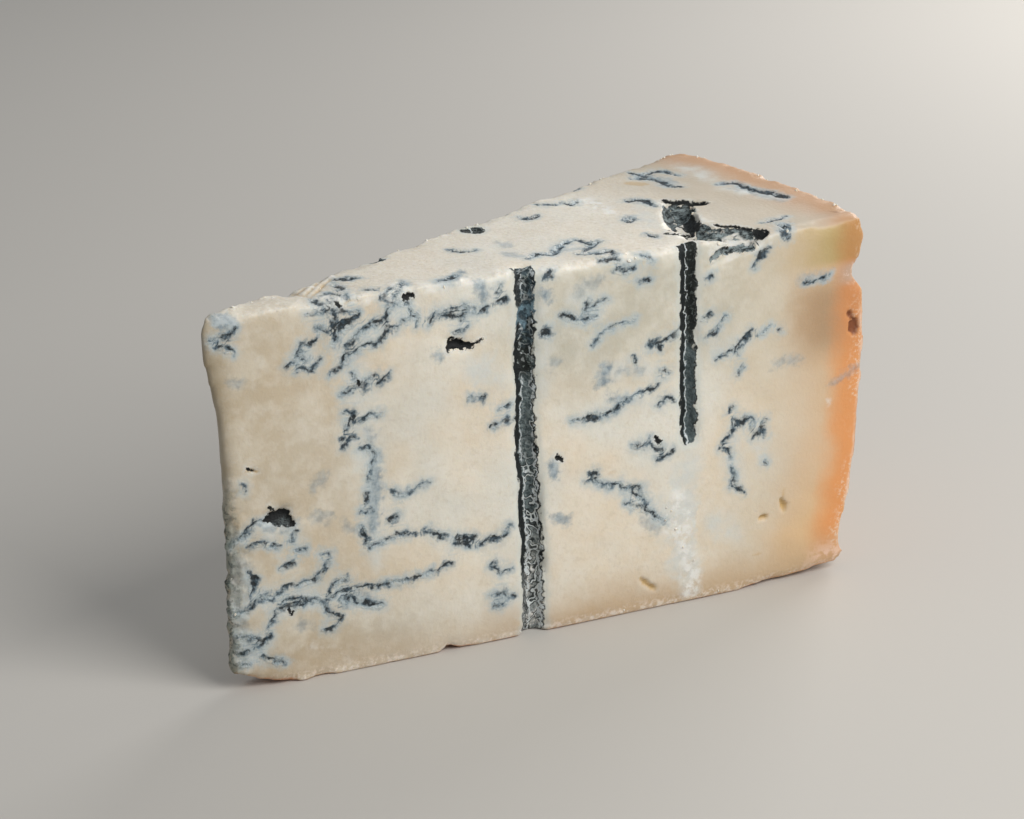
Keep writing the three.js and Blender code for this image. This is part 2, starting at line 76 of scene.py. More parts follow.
# Mould veins with dark cores. Each has its girth in millimetres and the pixels it runs through.
DARK_VEINS = {
    "shoulder": [
        (1.3, (398, 304), (388, 311), (384, 319), (376, 323), (365, 329), (358, 335), (353, 342), (346, 345)),
        (1.2, (396, 328), (388, 327), (385, 334), (378, 343), (362, 347), (355, 352), (347, 359)),
        (1.7, (350, 354), (345, 360), (341, 365)),
        (0.8, (341, 365), (330, 376)),
        (1.2, (406, 304), (413, 314), (418, 319), (416, 326)),
        (1.5, (412, 314), (418, 320)),
        (0.7, (413, 317), (400, 323)),
        (1.0, (334, 303), (334, 316)),
        (1.8, (334, 316), (335, 327), (336, 337), (334, 345)),
        (2.3, (335, 329), (347, 324), (355, 318), (359, 316)),
        (1.0, (316, 327), (327, 331)),
        (1.2, (302, 344), (298, 353), (301, 359), (306, 359)),
        (1.0, (302, 344), (307, 345), (313, 343), (316, 340)),
        (0.9, (287, 366), (292, 363), (299, 362)),
        (1.0, (298, 370), (306, 369), (313, 369), (316, 362), (320, 359)),
        (1.1, (353, 374), (358, 383), (362, 389), (368, 382), (374, 376)),
        (1.0, (359, 388), (347, 391), (342, 395)),
        (0.9, (378, 386), (384, 379), (390, 375)),
        (0.9, (345, 412), (353, 415), (348, 426), (347, 429)),
        (0.9, (356, 421), (362, 419), (370, 415), (381, 414)),
        (0.9, (342, 440), (347, 439), (355, 438)),
        (0.8, (347, 439), (345, 448)),
        (1.1, (362, 448), (368, 446), (373, 454), (374, 461), (371, 469), (369, 480)),
        (0.8, (436, 311), (433, 319), (428, 325)),
    ],
    "crumbled edge": [
        (1.0, (313, 298), (321, 304), (330, 307)),
        (0.9, (345, 294), (350, 299)),
        (1.0, (381, 297), (388, 299)),
        (1.0, (385, 291), (390, 287)),
        (0.9, (393, 296), (399, 299)),
        (0.9, (401, 286), (403, 281)),
        (0.9, (397, 291), (402, 290)),
        (0.8, (385, 299), (392, 303), (398, 302)),
        (0.9, (316, 301), (322, 304), (329, 301)),
        (0.8, (333, 298), (335, 307), (341, 309)),
        (0.5, (308, 314), (330, 312), (357, 311)),
        (0.8, (322, 295), (330, 292), (338, 294)),
    ],
    "tip": [
        (1.0, (211, 340), (223, 337), (231, 334), (237, 328)),
        (1.3, (217, 346), (228, 349), (233, 352)),
    ],
    "heel": [
        (1.2, (234, 611), (244, 613), (252, 606), (261, 600), (273, 598), (281, 592), (290, 586), (300, 585)),
        (1.2, (300, 585), (309, 581), (317, 579), (321, 571), (325, 565)),
        (1.6, (324, 567), (328, 563)),
        (0.8, (324, 554), (330, 554)),
        (0.8, (263, 594), (273, 597)),
        (1.3, (272, 618), (279, 610), (290, 608), (300, 605), (307, 600), (312, 599), (324, 600), (332, 597)),
        (1.2, (332, 597), (341, 594), (352, 589)),
        (1.0, (352, 589), (363, 588), (373, 586), (387, 584), (400, 582), (411, 579), (426, 574), (443, 568)),
        (1.8, (443, 567), (450, 563)),
        (1.0, (279, 605), (289, 600), (303, 598)),
        (1.2, (324, 600), (325, 608), (330, 614)),
        (0.8, (330, 614), (343, 616)),
        (0.9, (330, 590), (338, 582), (348, 578)),
        (1.6, (344, 600), (352, 598), (359, 603), (368, 604), (383, 605)),
        (1.0, (324, 630), (332, 629), (340, 622)),
        (0.9, (268, 627), (274, 621)),
        (0.8, (237, 638), (262, 639)),
        (1.5, (259, 647), (264, 642), (270, 637)),
        (1.0, (237, 654), (250, 652)),
        (0.9, (263, 656), (271, 661), (286, 663)),
        (0.9, (243, 667), (251, 664)),
        (1.5, (250, 573), (254, 579), (253, 589), (252, 595)),
        (1.1, (266, 520), (258, 523), (252, 528), (245, 535), (242, 538)),
        (0.8, (235, 541), (230, 546)),
        (0.4, (243, 484), (244, 493)),
        (1.0, (297, 533), (292, 539)),
        (0.7, (250, 547), (265, 543)),
        (1.0, (269, 547), (280, 546)),
        (0.8, (295, 551), (307, 550)),
        (1.0, (283, 568), (294, 563)),
    ],
    "middle": [
        (1.3, (367, 493), (367, 500)),
        (1.1, (362, 512), (372, 510)),
        (1.2, (360, 528), (367, 538)),
        (1.2, (367, 545), (369, 550)),
        (1.1, (368, 547), (379, 543), (389, 539), (395, 535)),
        (0.7, (395, 535), (403, 535), (414, 534)),
        (1.1, (427, 531), (437, 535), (440, 539)),
        (0.9, (438, 536), (447, 536)),
        (1.8, (458, 543), (466, 538), (474, 538)),
        (1.2, (459, 537), (470, 545)),
        (1.2, (480, 545), (490, 540), (501, 537), (506, 531), (513, 525)),
        (0.8, (391, 491), (400, 494), (413, 490)),
        (0.6, (413, 490), (429, 482)),
        (1.4, (391, 520), (397, 517)),
        (0.9, (490, 566), (501, 573), (504, 572), (510, 569)),
        (0.7, (492, 566), (495, 562)),
        (0.9, (491, 597), (499, 593), (506, 596), (507, 602), (502, 606), (495, 605)),
        (1.0, (508, 600), (512, 596)),
        (0.9, (470, 399), (483, 399)),
        (1.4, (491, 428), (497, 426)),
        (1.0, (497, 426), (505, 422), (515, 417)),
        (0.9, (502, 409), (514, 404)),
        (0.7, (456, 333), (462, 330), (467, 326)),
        (0.5, (444, 309), (458, 309), (469, 307), (476, 310)),
        (0.6, (438, 314), (448, 315), (460, 316), (471, 314), (476, 311)),
        (1.0, (481, 311), (488, 308)),
        (0.9, (498, 291), (501, 285)),
        (1.2, (498, 303), (505, 300), (508, 296)),
        (1.1, (440, 280), (449, 278), (457, 275)),
    ],
    "between the channels": [
        (1.3, (562, 316), (572, 319), (582, 321), (591, 318), (598, 316)),
        (1.3, (582, 319), (585, 310), (590, 307), (596, 304), (607, 300)),
        (1.2, (587, 303), (588, 308)),
        (1.7, (544, 330), (549, 335)),
        (1.1, (593, 344), (598, 340), (599, 335)),
        (0.7, (599, 334), (613, 327), (628, 321), (634, 320)),
        (1.6, (650, 345), (659, 340)),
        (1.3, (659, 341), (665, 341), (676, 334), (682, 326)),
        (1.0, (659, 341), (660, 349)),
        (0.8, (634, 357), (636, 361)),
        (1.2, (572, 422), (585, 419), (602, 417), (612, 412), (621, 404)),
        (1.0, (621, 404), (634, 397), (649, 391), (660, 383)),
        (1.3, (660, 404), (668, 398), (676, 401)),
        (0.9, (663, 371), (668, 372)),
        (1.6, (546, 277), (553, 271)),
        (1.0, (549, 271), (553, 276)),
        (1.3, (615, 271), (626, 271), (633, 269)),
        (1.0, (641, 281), (650, 280)),
        (1.3, (640, 254), (647, 255), (652, 261)),
        (0.7, (634, 447), (645, 446), (650, 439)),
        (0.7, (647, 444), (661, 449)),
        (0.7, (658, 460), (672, 451)),
        (1.5, (590, 475), (596, 474)),
        (1.1, (587, 482), (595, 480), (602, 485), (611, 486), (619, 485), (625, 488), (632, 486), (641, 488)),
        (1.2, (632, 486), (636, 493), (643, 498), (647, 504)),
        (0.9, (625, 503), (635, 507), (640, 505), (647, 503)),
        (1.2, (641, 506), (648, 511), (653, 515), (659, 519), (664, 521)),
        (1.0, (636, 490), (642, 489)),
    ],
    "by the rind": [
        (0.9, (704, 320), (712, 313)),
        (1.0, (707, 338), (716, 332), (719, 327), (727, 316)),
        (1.3, (755, 267), (759, 258), (764, 253), (769, 249)),
        (0.9, (717, 358), (725, 355), (734, 350), (738, 353)),
        (1.4, (737, 351), (742, 343), (747, 337), (751, 330)),
        (1.0, (759, 334), (764, 332), (772, 326)),
        (0.7, (780, 329), (781, 330)),
        (0.8, (737, 375), (742, 367)),
        (0.8, (729, 412), (734, 407)),
        (1.2, (735, 429), (735, 421), (741, 423), (745, 420), (753, 420), (751, 428)),
        (1.1, (735, 429), (729, 437), (723, 443)),
        (1.0, (722, 449), (729, 451), (731, 456)),
        (0.9, (731, 467), (735, 475), (732, 484), (743, 492)),
        (0.8, (754, 437), (762, 425), (766, 419)),
        (0.8, (763, 425), (765, 435)),
        (1.0, (765, 461), (766, 463)),
        (1.0, (707, 279), (712, 276)),
        (0.6, (805, 282), (815, 281), (822, 278), (829, 277)),
    ],
    "top": [
        (2.0, (719, 184), (734, 182), (746, 187), (756, 189)),
        (2.2, (746, 187), (758, 190), (769, 192), (787, 197)),
        (1.8, (626, 200), (640, 199), (647, 202), (656, 205)),
        (1.6, (648, 234), (656, 236)),
        (1.0, (625, 219), (629, 216), (635, 219), (630, 222), (625, 219)),
        (1.4, (521, 217), (528, 219), (537, 215)),
        (0.9, (537, 204), (556, 204)),
        (2.0, (564, 191), (571, 189), (578, 188)),
        (1.5, (564, 202), (571, 204), (576, 201)),
        (1.5, (528, 258), (537, 254), (554, 253), (559, 246), (568, 241), (580, 240), (592, 244), (598, 241)),
        (1.6, (578, 253), (590, 253), (602, 252), (609, 250), (618, 253)),
        (1.2, (585, 250), (596, 243)),
        (1.4, (601, 259), (609, 257), (620, 259)),
        (1.6, (630, 172), (642, 175), (656, 171), (668, 172), (680, 175)),
        (1.8, (633, 178), (654, 178), (668, 185), (680, 186)),
        (1.4, (334, 279), (347, 278), (359, 277)),
        (1.2, (334, 284), (342, 289)),
        (1.0, (366, 289), (374, 289)),
        (1.2, (449, 250), (464, 251), (475, 250)),
        (1.3, (764, 222), (772, 220), (786, 216)),
        (1.4, (779, 224), (784, 227), (787, 233)),
        (1.1, (780, 230), (785, 234), (788, 238)),
        (0.9, (788, 224), (791, 230)),
    ],
}

# Blue smears with no core, written the same way, and how strong each group is
BLUE_SMEARS = {
    "strong": [
        (2.4, (374, 455), (375, 480), (374, 505), (373, 530)),
        (2.0, (480, 280), (482, 290), (485, 302)),
        (1.6, (603, 366), (608, 368), (604, 376), (600, 382), (609, 382)),
        (1.4, (440, 281), (455, 277), (462, 270)),
        (1.8, (552, 464), (555, 472), (554, 478)),
        (1.6, (612, 398), (620, 400), (616, 410)),
        (1.4, (553, 519), (567, 520)),
        (1.4, (623, 264), (630, 266)),
        (1.2, (345, 603), (365, 600), (380, 604)),
        (1.6, (502, 600), (498, 602)),
        (1.5, (542, 290), (547, 298)),
        (1.2, (436, 354), (442, 357)),
        (2.2, (784, 223), (786, 234)),
        (2.2, (268, 525), (280, 523), (291, 527)),
        (1.2, (806, 282), (817, 280), (829, 277)),
        (3.4, (216, 318), (226, 322), (234, 327)),
    ],
    "faint": [
        (2.6, (800, 282), (808, 280), (819, 279), (831, 275)),
        (1.6, (370, 430), (373, 450)),
        (1.6, (314, 515), (322, 519), (330, 515)),
        (1.6, (313, 489), (318, 482), (325, 475)),
        (1.5, (232, 383), (239, 384)),
        (1.4, (301, 624), (308, 626)),
        (1.4, (643, 520), (650, 525), (660, 531)),
        (1.6, (577, 294), (585, 285), (602, 277)),
        (1.4, (620, 372), (640, 370)),
        (1.4, (774, 366), (784, 362), (800, 361)),
        (1.3, (831, 384), (838, 381), (847, 374), (857, 366)),
        (1.4, (550, 366), (556, 362)),
        (1.2, (344, 522), (355, 531)),
        (3.0, (236, 590), (246, 580), (240, 560)),
        (3.0, (232, 640), (250, 645), (240, 660)),
        (3.0, (234, 558), (237, 600), (239, 630), (243, 665)),
        (2.4, (499, 243), (510, 245)),
        (2.4, (505, 253), (517, 255)),
        (2.6, (640, 176), (665, 180), (676, 184)),
        (2.4, (730, 188), (760, 194), (780, 199)),
        (2.0, (562, 250), (575, 248)),
        (2.0, (640, 202), (655, 202)),
    ],
}
SMEAR_STRENGTH = {"strong": 0.85, "faint": 0.5}

# Wide zones where the paste is bleached a bluish white
PALE_ZONES = {
    "front": [
        (5.0, (345, 350), (360, 380), (362, 420), (366, 450), (374, 480), (374, 530), (376, 565)),
        (4.0, (300, 350), (312, 366)),
        (4.0, (335, 340), (370, 335), (400, 316), (420, 320)),
        (4.0, (250, 535), (285, 530), (300, 540)),
        (5.0, (240, 600), (280, 600), (330, 598), (380, 602)),
        (5.0, (236, 650), (262, 645), (250, 665)),
        (3.5, (430, 537), (480, 541)),
        (3.5, (570, 300), (600, 300), (585, 320)),
        (4.0, (600, 370), (620, 372), (640, 370), (660, 376)),
        (4.0, (590, 415), (612, 405), (645, 396)),
        (4.0, (640, 440), (665, 450)),
        (4.5, (595, 480), (640, 496), (658, 522)),
        (4.0, (715, 352), (745, 342)),
        (4.5, (740, 425), (730, 450), (738, 485)),
        (4.0, (758, 430), (764, 455)),
        (8.0, (692, 450), (684, 490), (682, 530), (688, 590)),
        (6.0, (664, 500), (668, 540)),
        (5.0, (708, 520), (736, 534)),
        (3.0, (480, 285), (500, 295)),
        (3.0, (550, 462), (556, 480)),
        (3.5, (440, 312), (478, 311)),
        (7.0, (470, 362), (500, 380)),
        (3.0, (545, 300), (546, 350), (543, 400)),
    ],
    "top": [
        (4.0, (655, 178), (680, 185)),
        (4.0, (680, 166), (698, 172), (708, 182)),
        (2.4, (712, 251), (726, 243), (740, 240), (764, 240)),
        (4.0, (720, 188), (785, 198)),
        (3.0, (530, 256), (560, 248), (600, 250)),
        (3.0, (640, 205), (650, 225)),
        (3.0, (430, 285), (455, 277)),
        (3.0, (500, 246), (515, 256)),
    ],
}

# Small open pits with an ochre tint, creases and flat stains of the same tint, and how deep each group is
OCHRE_PITS = {
    "open": [
        (1.4, (782, 500), (784, 505), (785, 510)),
        (1.2, (762, 518), (766, 517)),
        (1.3, (641, 579), (645, 583), (655, 589)),
        (0.7, (248, 471), (257, 473)),
        (2.6, (854, 322), (855, 332)),
        (1.6, (850, 313), (852, 317)),
    ],
    "creased": [
        (0.6, (299, 292), (305, 286), (313, 279), (320, 275)),
        (0.6, (306, 294), (312, 288), (319, 281), (326, 277)),
        (0.6, (312, 295), (318, 290), (324, 284), (330, 279)),
        (0.5, (292, 294), (301, 295), (311, 297)),
        (0.5, (346, 303), (353, 299), (361, 300)),
    ],
    "flat": [
        (0.6, (785, 488), (783, 498)),
        (0.5, (753, 555), (762, 553)),
        (3.4, (628, 183), (646, 184)),
        (1.0, (832, 211), (838, 212)),
        (0.4, (608, 474), (616, 472)),
    ],
}
PIT_DEPTH = {"open": 1.0, "creased": 0.9, "flat": 0.0}

# White crumbling places: a ridge below the second channel, broken edges, and the crater's rims
CHALK = {
    "front": [
        (7.0, (677, 498), (682, 525), (685, 545)),
        (5.0, (685, 540), (690, 566), (692, 596)),
        (1.4, (826, 398), (829, 400)),
        (2.2, (711, 243), (714, 256)),
        (2.0, (318, 293), (330, 297), (346, 296)),
        (2.0, (362, 298), (376, 298)),
        (2.8, (354, 291), (362, 298), (367, 304)),
        (2.6, (386, 292), (394, 299)),
        (0.7, (298, 642), (312, 644), (326, 646), (340, 650)),
        (0.9, (338, 650), (350, 661)),
        (1.6, (400, 288), (420, 292), (436, 290)),
        (2.2, (500, 268), (509, 274)),
        (2.2, (540, 266), (560, 270)),
        (1.6, (570, 266), (600, 262)),
        (1.6, (640, 250), (650, 252)),
    ],
    "top": [
        (1.8, (692, 211), (700, 217), (712, 222)),
        (1.6, (694, 240), (716, 241)),
        (2.4, (716, 250), (723, 243), (730, 238), (738, 233)),
        (1.5, (738, 238), (748, 240), (760, 240)),
        (1.0, (700, 229), (712, 229), (724, 231)),
        (0.9, (704, 237), (718, 238)),
        (0.7, (664, 229), (672, 232), (684, 234)),
        (5.0, (582, 198), (596, 205), (610, 212)),
        (4.0, (308, 288), (318, 280), (330, 276)),
        (2.6, (385, 285), (400, 281)),
        (2.0, (330, 282), (345, 284)),
    ],
}

# Open hollows as the photograph shows them on a cut: paleness of the lining, girth and pixels. A paleness of
# 0 paints the lining black, for mould and painted shade.
SEEN_HOLLOWS = {
    "front": [
        (0.0, 2.3, (273, 514), (281, 514), (287, 515)),
        (0.0, 1.3, (267, 519), (276, 518)),
        (0.0, 1.2, (288, 516), (292, 524)),
        (0.4, 1.8, (274, 520), (282, 521), (289, 522)),
        (0.0, 0.6, (269, 507), (274, 512)),
        (0.0, 2.2, (450, 345), (456, 343), (462, 345)),
        (0.0, 1.5, (460, 345), (471, 345)),
        (0.0, 1.0, (449, 341), (451, 339)),
        (0.0, 0.9, (448, 348), (449, 351)),
        (0.0, 0.6, (471, 345), (478, 342), (482, 340)),
        (0.0, 1.5, (405, 297), (411, 296)),
        (0.0, 0.8, (408, 293), (413, 297)),
        (0.0, 1.1, (338, 302), (340, 305)),
        (0.0, 0.8, (290, 611), (292, 613)),
        (0.0, 0.7, (359, 383), (360, 385)),
        (0.0, 1.0, (656, 438), (660, 442)),
        (0.0, 1.2, (557, 458), (561, 460)),
        (1.0, 1.9, (712, 259), (721, 253), (731, 248), (741, 244), (748, 242)),
        (0.0, 0.7, (248, 470), (253, 472)),
        (0.0, 0.9, (711, 259), (714, 257)),
    ],
    "top": [
        # The crater's far wall, painted black as its shadow.
        (0.0, 1.0, (664, 200), (675, 202), (687, 202), (697, 204), (707, 203)),
        (1.0, 5.6, (674, 206), (677, 212), (682, 221)),
        (0.8, 2.6, (686, 206), (685, 212)),
        (0.7, 2.4, (668, 206), (668, 218), (671, 227)),
        (0.1, 3.2, (690, 219), (692, 225), (693, 230)),
        (1.0, 4.2, (699, 231), (710, 233), (722, 234)),
        # Painted shadow under the upper lip of the crater's arm.
        (0.0, 1.2, (716, 224), (724, 226), (735, 226), (750, 228)),
        (0.9, 2.2, (728, 231), (740, 232), (750, 232)),
        (0.9, 1.6, (728, 236), (740, 235), (750, 235)),
        (0.0, 2.6, (756, 231), (763, 233)),
        (0.0, 0.9, (665, 233), (678, 234), (692, 236)),
        (0.0, 0.8, (668, 229), (670, 229)),
        (0.0, 0.8, (673, 230), (676, 230)),
    ],
}

# Needle channels and the hollows of the back: two ends and a half width in millimetres, and the paleness of
# the lining. A point is (distance from the axis, height) on a side, or its (x, y) from the axis on the top.
NEEDLES = {
    "front": [
        ((69.0, -3), (68.7, 19), 2.2, 1.0),
        ((68.7, 19), (67.0, 46), 2.15, 1.0),
        ((67.0, 46), (66.9, 83), 1.85, 1.0),
        ((104.4, 38), (103.4, 83), 1.7, 0.35),
    ],
    "top": [((68, 26.4), (68, 26.6), 2.2, 0.6)],
    "back": [((47, 24), (46, 83), 1.8, 0.8), ((98, -3), (99, 58), 2.2, 0.9)],
}
BACK_HOLLOWS = [
    ((70, 52), (74.5, 53.6), 1.6, 0.2),
    ((74, 53.6), (80, 52), 0.7, 0.0),
    ((26, 43.6), (28.6, 45.4), 1.2, 0.1),
    ((119, 35), (122.6, 36.4), 1.4, 0.2),
    ((122, 36.4), (124, 40.4), 0.7, 0.0),
]

# Veins of the back cut grow from these places, given as (distance from the axis, height) in millimetres
BACK_COLONIES = [
    (18, 63), (24, 28), (36, 52), (40, 14), (57, 69), (60, 33), (72, 16), (78, 66), (84, 40), (106, 67),
    (110, 26), (113, 48), (126, 60),
]
BACK_SEED = 11

# These veins stay on this part of the cut. Strides, girths, spreads and places are in millimetres, leans and
# turns in radians.
BACK_ALONG = (5, 134)
BACK_HEIGHTS = (3, 78)
VEIN_LEAN = (-0.3, 0.9)
VEIN_BEND = 0.55
VEIN_STRIDE = (1.4, 3.2)

# Each colony has some stems with forks, and dabs beside them
STEM_COUNT = (1, 3)
STEM_SPREAD = 4
STEM_STRIDES = (4, 8)
STEM_GIRTH = (0.9, 1.6)
FORK_TURN = (0.6, 1.5)
FORK_STRIDES = (1, 3)
FORK_GIRTH = (0.7, 1.2)
DAB_COUNT = (2, 4)
DAB_SPREAD = (7, 6)
DAB_STRIDES = (1, 2)
DAB_GIRTH = (1.0, 1.7)

# Lobes round the mouth of a hollow of the back, as shares of its half width
LOBE_COUNT = 4
LOBE_REACH = (0.6, 1.2)
LOBE_HALF_WIDTH = (0.4, 0.7)

# How much a wandering run thins and swells
GIRTH_WOBBLE = (0.7, 1.3)

# Depths below its cut where a lining starts to end and is gone, and how many millimetres away it is then put
LINING_DEPTH = (2.8 * MM, 4.2 * MM)
OUT_OF_REACH = 20.0

# For each guide, how far its outline wanders in metres, and what the paint needs of it. The first ones are
# measured on the skin, the last ones on the planes of the three cuts.
LINED = ("", " way", " girth", " facing")
ON_SKIN = {
    "veins": (1.0 * MM, LINED),
    "smears": (1.6 * MM, ("", " pale")),
    "zones": (2.0 * MM, ("",)),
    "pits": (0.5 * MM, ("", " pale")),
    "chalk": (2.0 * MM, ("",)),
    "edges": (1.5 * MM, ("", " pale")),
}
ON_CUTS = {"needles": (0.6 * MM, (*LINED, " pale")), "hollows": (0.5 * MM, (*LINED, " pale"))}
WIRES = [*ON_SKIN, *(f"{name} {cut}" for name in ON_CUTS for cut in CUTS)]
VECTORS = (" way", " facing")

# The guides whose outlines are too soft to need small faces
SOFT_EDGED = ("smears", "zones")

# Where the lip of the foot and the rind begin and are whole, and how often facets and edges are softened
LIP_HEIGHTS = (9 * MM, 6 * MM)
LIP_RADII = (WHEEL_RADIUS - 9 * MM, WHEEL_RADIUS - 5 * MM)
RIND_RADII = (WHEEL_RADIUS - 8 * MM, WHEEL_RADIUS - 4 * MM)
FACET_ROUNDS = 2
EDGE_ROUNDS = 16

# Sizes of the relief, in metres
RELIEF = {
    "Paste Relief": 0.12 * MM,
    "Knife Drag": 0.10 * MM,
    "Vein Depth": 0.3 * MM,
    "Pit Depth": 0.8 * MM,
    "Hollow Depth": 0.7 * MM,
    "Lining Relief": 0.8 * MM,
    "Crumble": 1.3 * MM,
    "Chalk Relief": 0.7 * MM,
    "Rind Relief": 0.8 * MM,
    "Tip Relief": 3.0 * MM,
    "Inset": 0.1 * MM,
}

# How many crumbs a square metre of broken paste has, their sizes, and their seed
CRUMBS = {"Density": 900000.0, "Smallest": 0.12 * MM, "Largest": 0.4 * MM, "Seed": 5}

FLOOR_WIDTH = 6.0


class Nodes:
    """Adds nodes to one tree. An input is a number, a vector, a name or another node's output."""

    def __init__(self, tree):
        self.tree = tree

    def feed(self, socket, value):
        if isinstance(value, bpy.types.NodeSocket):
            self.tree.links.new(value, socket)
        else:
            socket.default_value = value

    def add(self, kind, inputs=(), **settings):
        node = self.tree.nodes.new(kind)
        for name, value in settings.items():
            setattr(node, name, value)
        for key, value in dict(inputs).items():
            self.feed(node.inputs[key], value)
        return node

    def math(self, operation, *values):
        return self.add("ShaderNodeMath", enumerate(values), operation=operation).outputs[0]

    def fold(self, operation, first, *others):
        """One operation over any number of values."""
        for other in others:
            first = self.math(operation, first, other)
        return first

    def product(self, *values):
        return self.fold("MULTIPLY", *values)

    def total(self, *values):
        return self.fold("ADD", *values)

    def most(self, *values):
        return self.fold("MAXIMUM", *values)

    def least(self, *values):
        return self.fold("MINIMUM", *values)

    def vector(self, operation, *values):
        node = self.add("ShaderNodeVectorMath", operation=operation)
        for i, value in enumerate(values):
            self.feed(node.inputs["Scale" if operation == "SCALE" and i else i], value)
        return node.outputs["Value" if operation in ("LENGTH", "DOT_PRODUCT") else "Vector"]

    def xyz(self, vector):
        return self.add("ShaderNodeSeparateXYZ", {0: vector}).outputs

    def ramp(self, value, low, high, start=0.0, end=1.0):
        """Goes smoothly from start to end as value goes from low to high."""
        inputs = {"Value": value, "From Min": low, "From Max": high, "To Min": start, "To Max": end}
        return self.add("ShaderNodeMapRange", inputs, interpolation_type="SMOOTHSTEP").outputs["Result"]

    def fade(self, value, low, high, start=1.0):
        """Goes smoothly from start to nothing as value goes from low to high."""
        return self.ramp(value, low, high, start, 0.0)

    def band(self, value, middle, inner, outer, strength=1.0):
        """Full strength where value is within inner of a middle, and nothing beyond outer."""
        return self.fade(self.math("ABSOLUTE", self.math("SUBTRACT", value, middle)), inner, outer, strength)

    def noise(self, place, size, detail=2.0, roughness=0.5, output="Fac"):
        """Noise from 0 to 1 whose spots are about size metres across."""
        inputs = {"Vector": place, "Scale": 1 / size, "Detail": detail, "Roughness": roughness}
        return self.add("ShaderNodeTexNoise", inputs).outputs[output]

    def shake(self, place, size, detail=2.0, roughness=0.5):
        """A noisy vector about nothing."""
        return self.vector("SUBTRACT", self.noise(place, size, detail, roughness, "Color"), (0.5, 0.5, 0.5))

    def blend(self, factor, first, second, label=""):
        """A colour that goes from first to second as factor goes from 0 to 1."""
        node = self.add("ShaderNodeMix", data_type="RGBA", label=label)
        for index, value in ((0, factor), (6, first), (7, second)):
            self.feed(node.inputs[index], value)
        return node.outputs[2]

    def coats(self, colour, layers):
        """A colour under named layers, each with how strongly it covers and its own colour."""
        for label, (cover, tone) in layers.items():
            colour = self.blend(cover, colour, tone, label)
        return colour


def rgb(red, green, blue):
    """A colour of the 0 to 255 scale, as the shaders need it."""
    values = [c / 255 for c in (red, green, blue)]
    return [*(c / 12.92 if c <= 0.04045 else ((c + 0.055) / 1.055) ** 2.4 for c in values), 1.0]


def new_object(name, data):
    made = bpy.data.objects.new(name, data)
    bpy.context.scene.collection.objects.link(made)
    return made


def settle(piece):
    """Turns a piece and its modifiers into a plain mesh."""
    bpy.context.view_layer.update()
    evaluated = piece.evaluated_get(bpy.context.evaluated_depsgraph_get())
    mesh = bpy.data.meshes.new_from_object(evaluated)
    piece.modifiers.clear()
    piece.data = mesh


def bare_skin():
    """The solid's shape as an even skin of small faces."""
    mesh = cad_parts[NODE].data.copy()
    mesh.materials.clear()
    shell = bmesh.new()
    shell.from_mesh(mesh)
    bmesh.ops.remove_doubles(shell, verts=shell.verts, dist=MERGE_GAP)
    shell.to_mesh(mesh)
    shell.free()
    piece = new_object("wedge", mesh)
    remesh = piece.modifiers.new("skin", "REMESH")
    remesh.mode = "VOXEL"
    remesh.voxel_size = SKIN_STEP
    settle(piece)
    return piece


class Placing:
    """Finds places on the wedge's skin."""

    def __init__(self, piece):
        mesh = piece.data
        self.tree = BVHTree.FromPolygons([v.co for v in mesh.vertices], [f.vertices for f in mesh.polygons])

    def seen_at(self, pixel):
        """The place on the skin that the camera sees at a pixel, or None."""
        across = (Vector(pixel) - FRAME_SIZE / 2) * SENSOR_WIDTH / FRAME_SIZE.x
        sight = Vector((across.x, -across.y, -LENS))
        sight.rotate(CAMERA_TURN)
        return self.tree.ray_cast(CAMERA_PLACE, sight.normalized())[0]

    def traced(self, pixels):
        """The places on the skin under a smooth stroke through some pixels."""
        places = [self.seen_at(pixel) for pixel in smooth_run(pixels, PIXEL_STEP)]
        return [place for place in places if place]

    def nearest(self, place):
        return self.tree.find_nearest(place)[0]


def smooth_run(points, step):
    """Points about a step apart on a smooth curve through the given ones."""
    points = [Vector(p) for p in points]
    padded = [2 * points[0] - points[1], *points, 2 * points[-1] - points[-2]]
    run = [points[0]]
    for before, start, end, after in zip(padded, padded[1:], padded[2:], padded[3:]):
        count = max(1, round((end - start).length / step))
        for i in range(1, count + 1):
            t = i / count
            curve = 2 * start + (end - before) * t
            curve += (2 * before - 5 * start + 4 * end - after) * t**2
            curve += (3 * start - before - 3 * end + after) * t**3
            run.append(curve / 2)
    return run


def on_front(along, height):
    """A point of the front cut, from its distance to the axis and its height in millimetres."""
    return WHEEL_AXIS + Vector((along * MM, -FRONT_BOW, height * MM))


def on_top(x, y):
    """A point of the top, from its place beside the axis in millimetres."""
    return WHEEL_AXIS + Vector((x * MM, y * MM, WEDGE_HEIGHT))


def on_back(along, height):
    """A point of the back cut, given as one of the front cut is."""
    return WHEEL_AXIS + Vector((along * cos(WEDGE_ANGLE), along * sin(WEDGE_ANGLE), height)) * MM


POINT_ON = {"front": on_front, "top": on_top, "back": on_back}


def photo_runs(placing, groups, strengths=None):
    """The runs that the photograph shows, laid on the skin, with their girths and their group's strength."""
    return [(placing.traced(pixels), girth * MM, strengths[group] if strengths else 0.0)
            for group, strokes in groups.items() for girth, *pixels in strokes]


def hollow_runs(placing, cut):
    """The hollows of one cut that the photograph shows, brought out of the skin onto the cut's plane."""
    outward, reach = CUTS[cut]
    runs = []
    for pale, girth, *pixels in SEEN_HOLLOWS[cut]:
        places = placing.traced(pixels)
        flat = [p + outward * (reach - (p - WHEEL_AXIS).dot(outward)) for p in places]
        runs.append((flat, girth * MM, pale))
    return runs


def crooked(draw, start, heading, strides):
    """Points of a crooked vein of the back cut, in millimetres."""
    points = [start]
    for _ in range(strides):
        heading += draw.gauss(0, VEIN_BEND)
        stride = draw.uniform(*VEIN_STRIDE)
        points.append((points[-1][0] + stride * cos(heading), points[-1][1] + stride * sin(heading)))
    return [(along, height) for along, height in points
            if BACK_ALONG[0] < along < BACK_ALONG[1] and BACK_HEIGHTS[0] < height < BACK_HEIGHTS[1]]


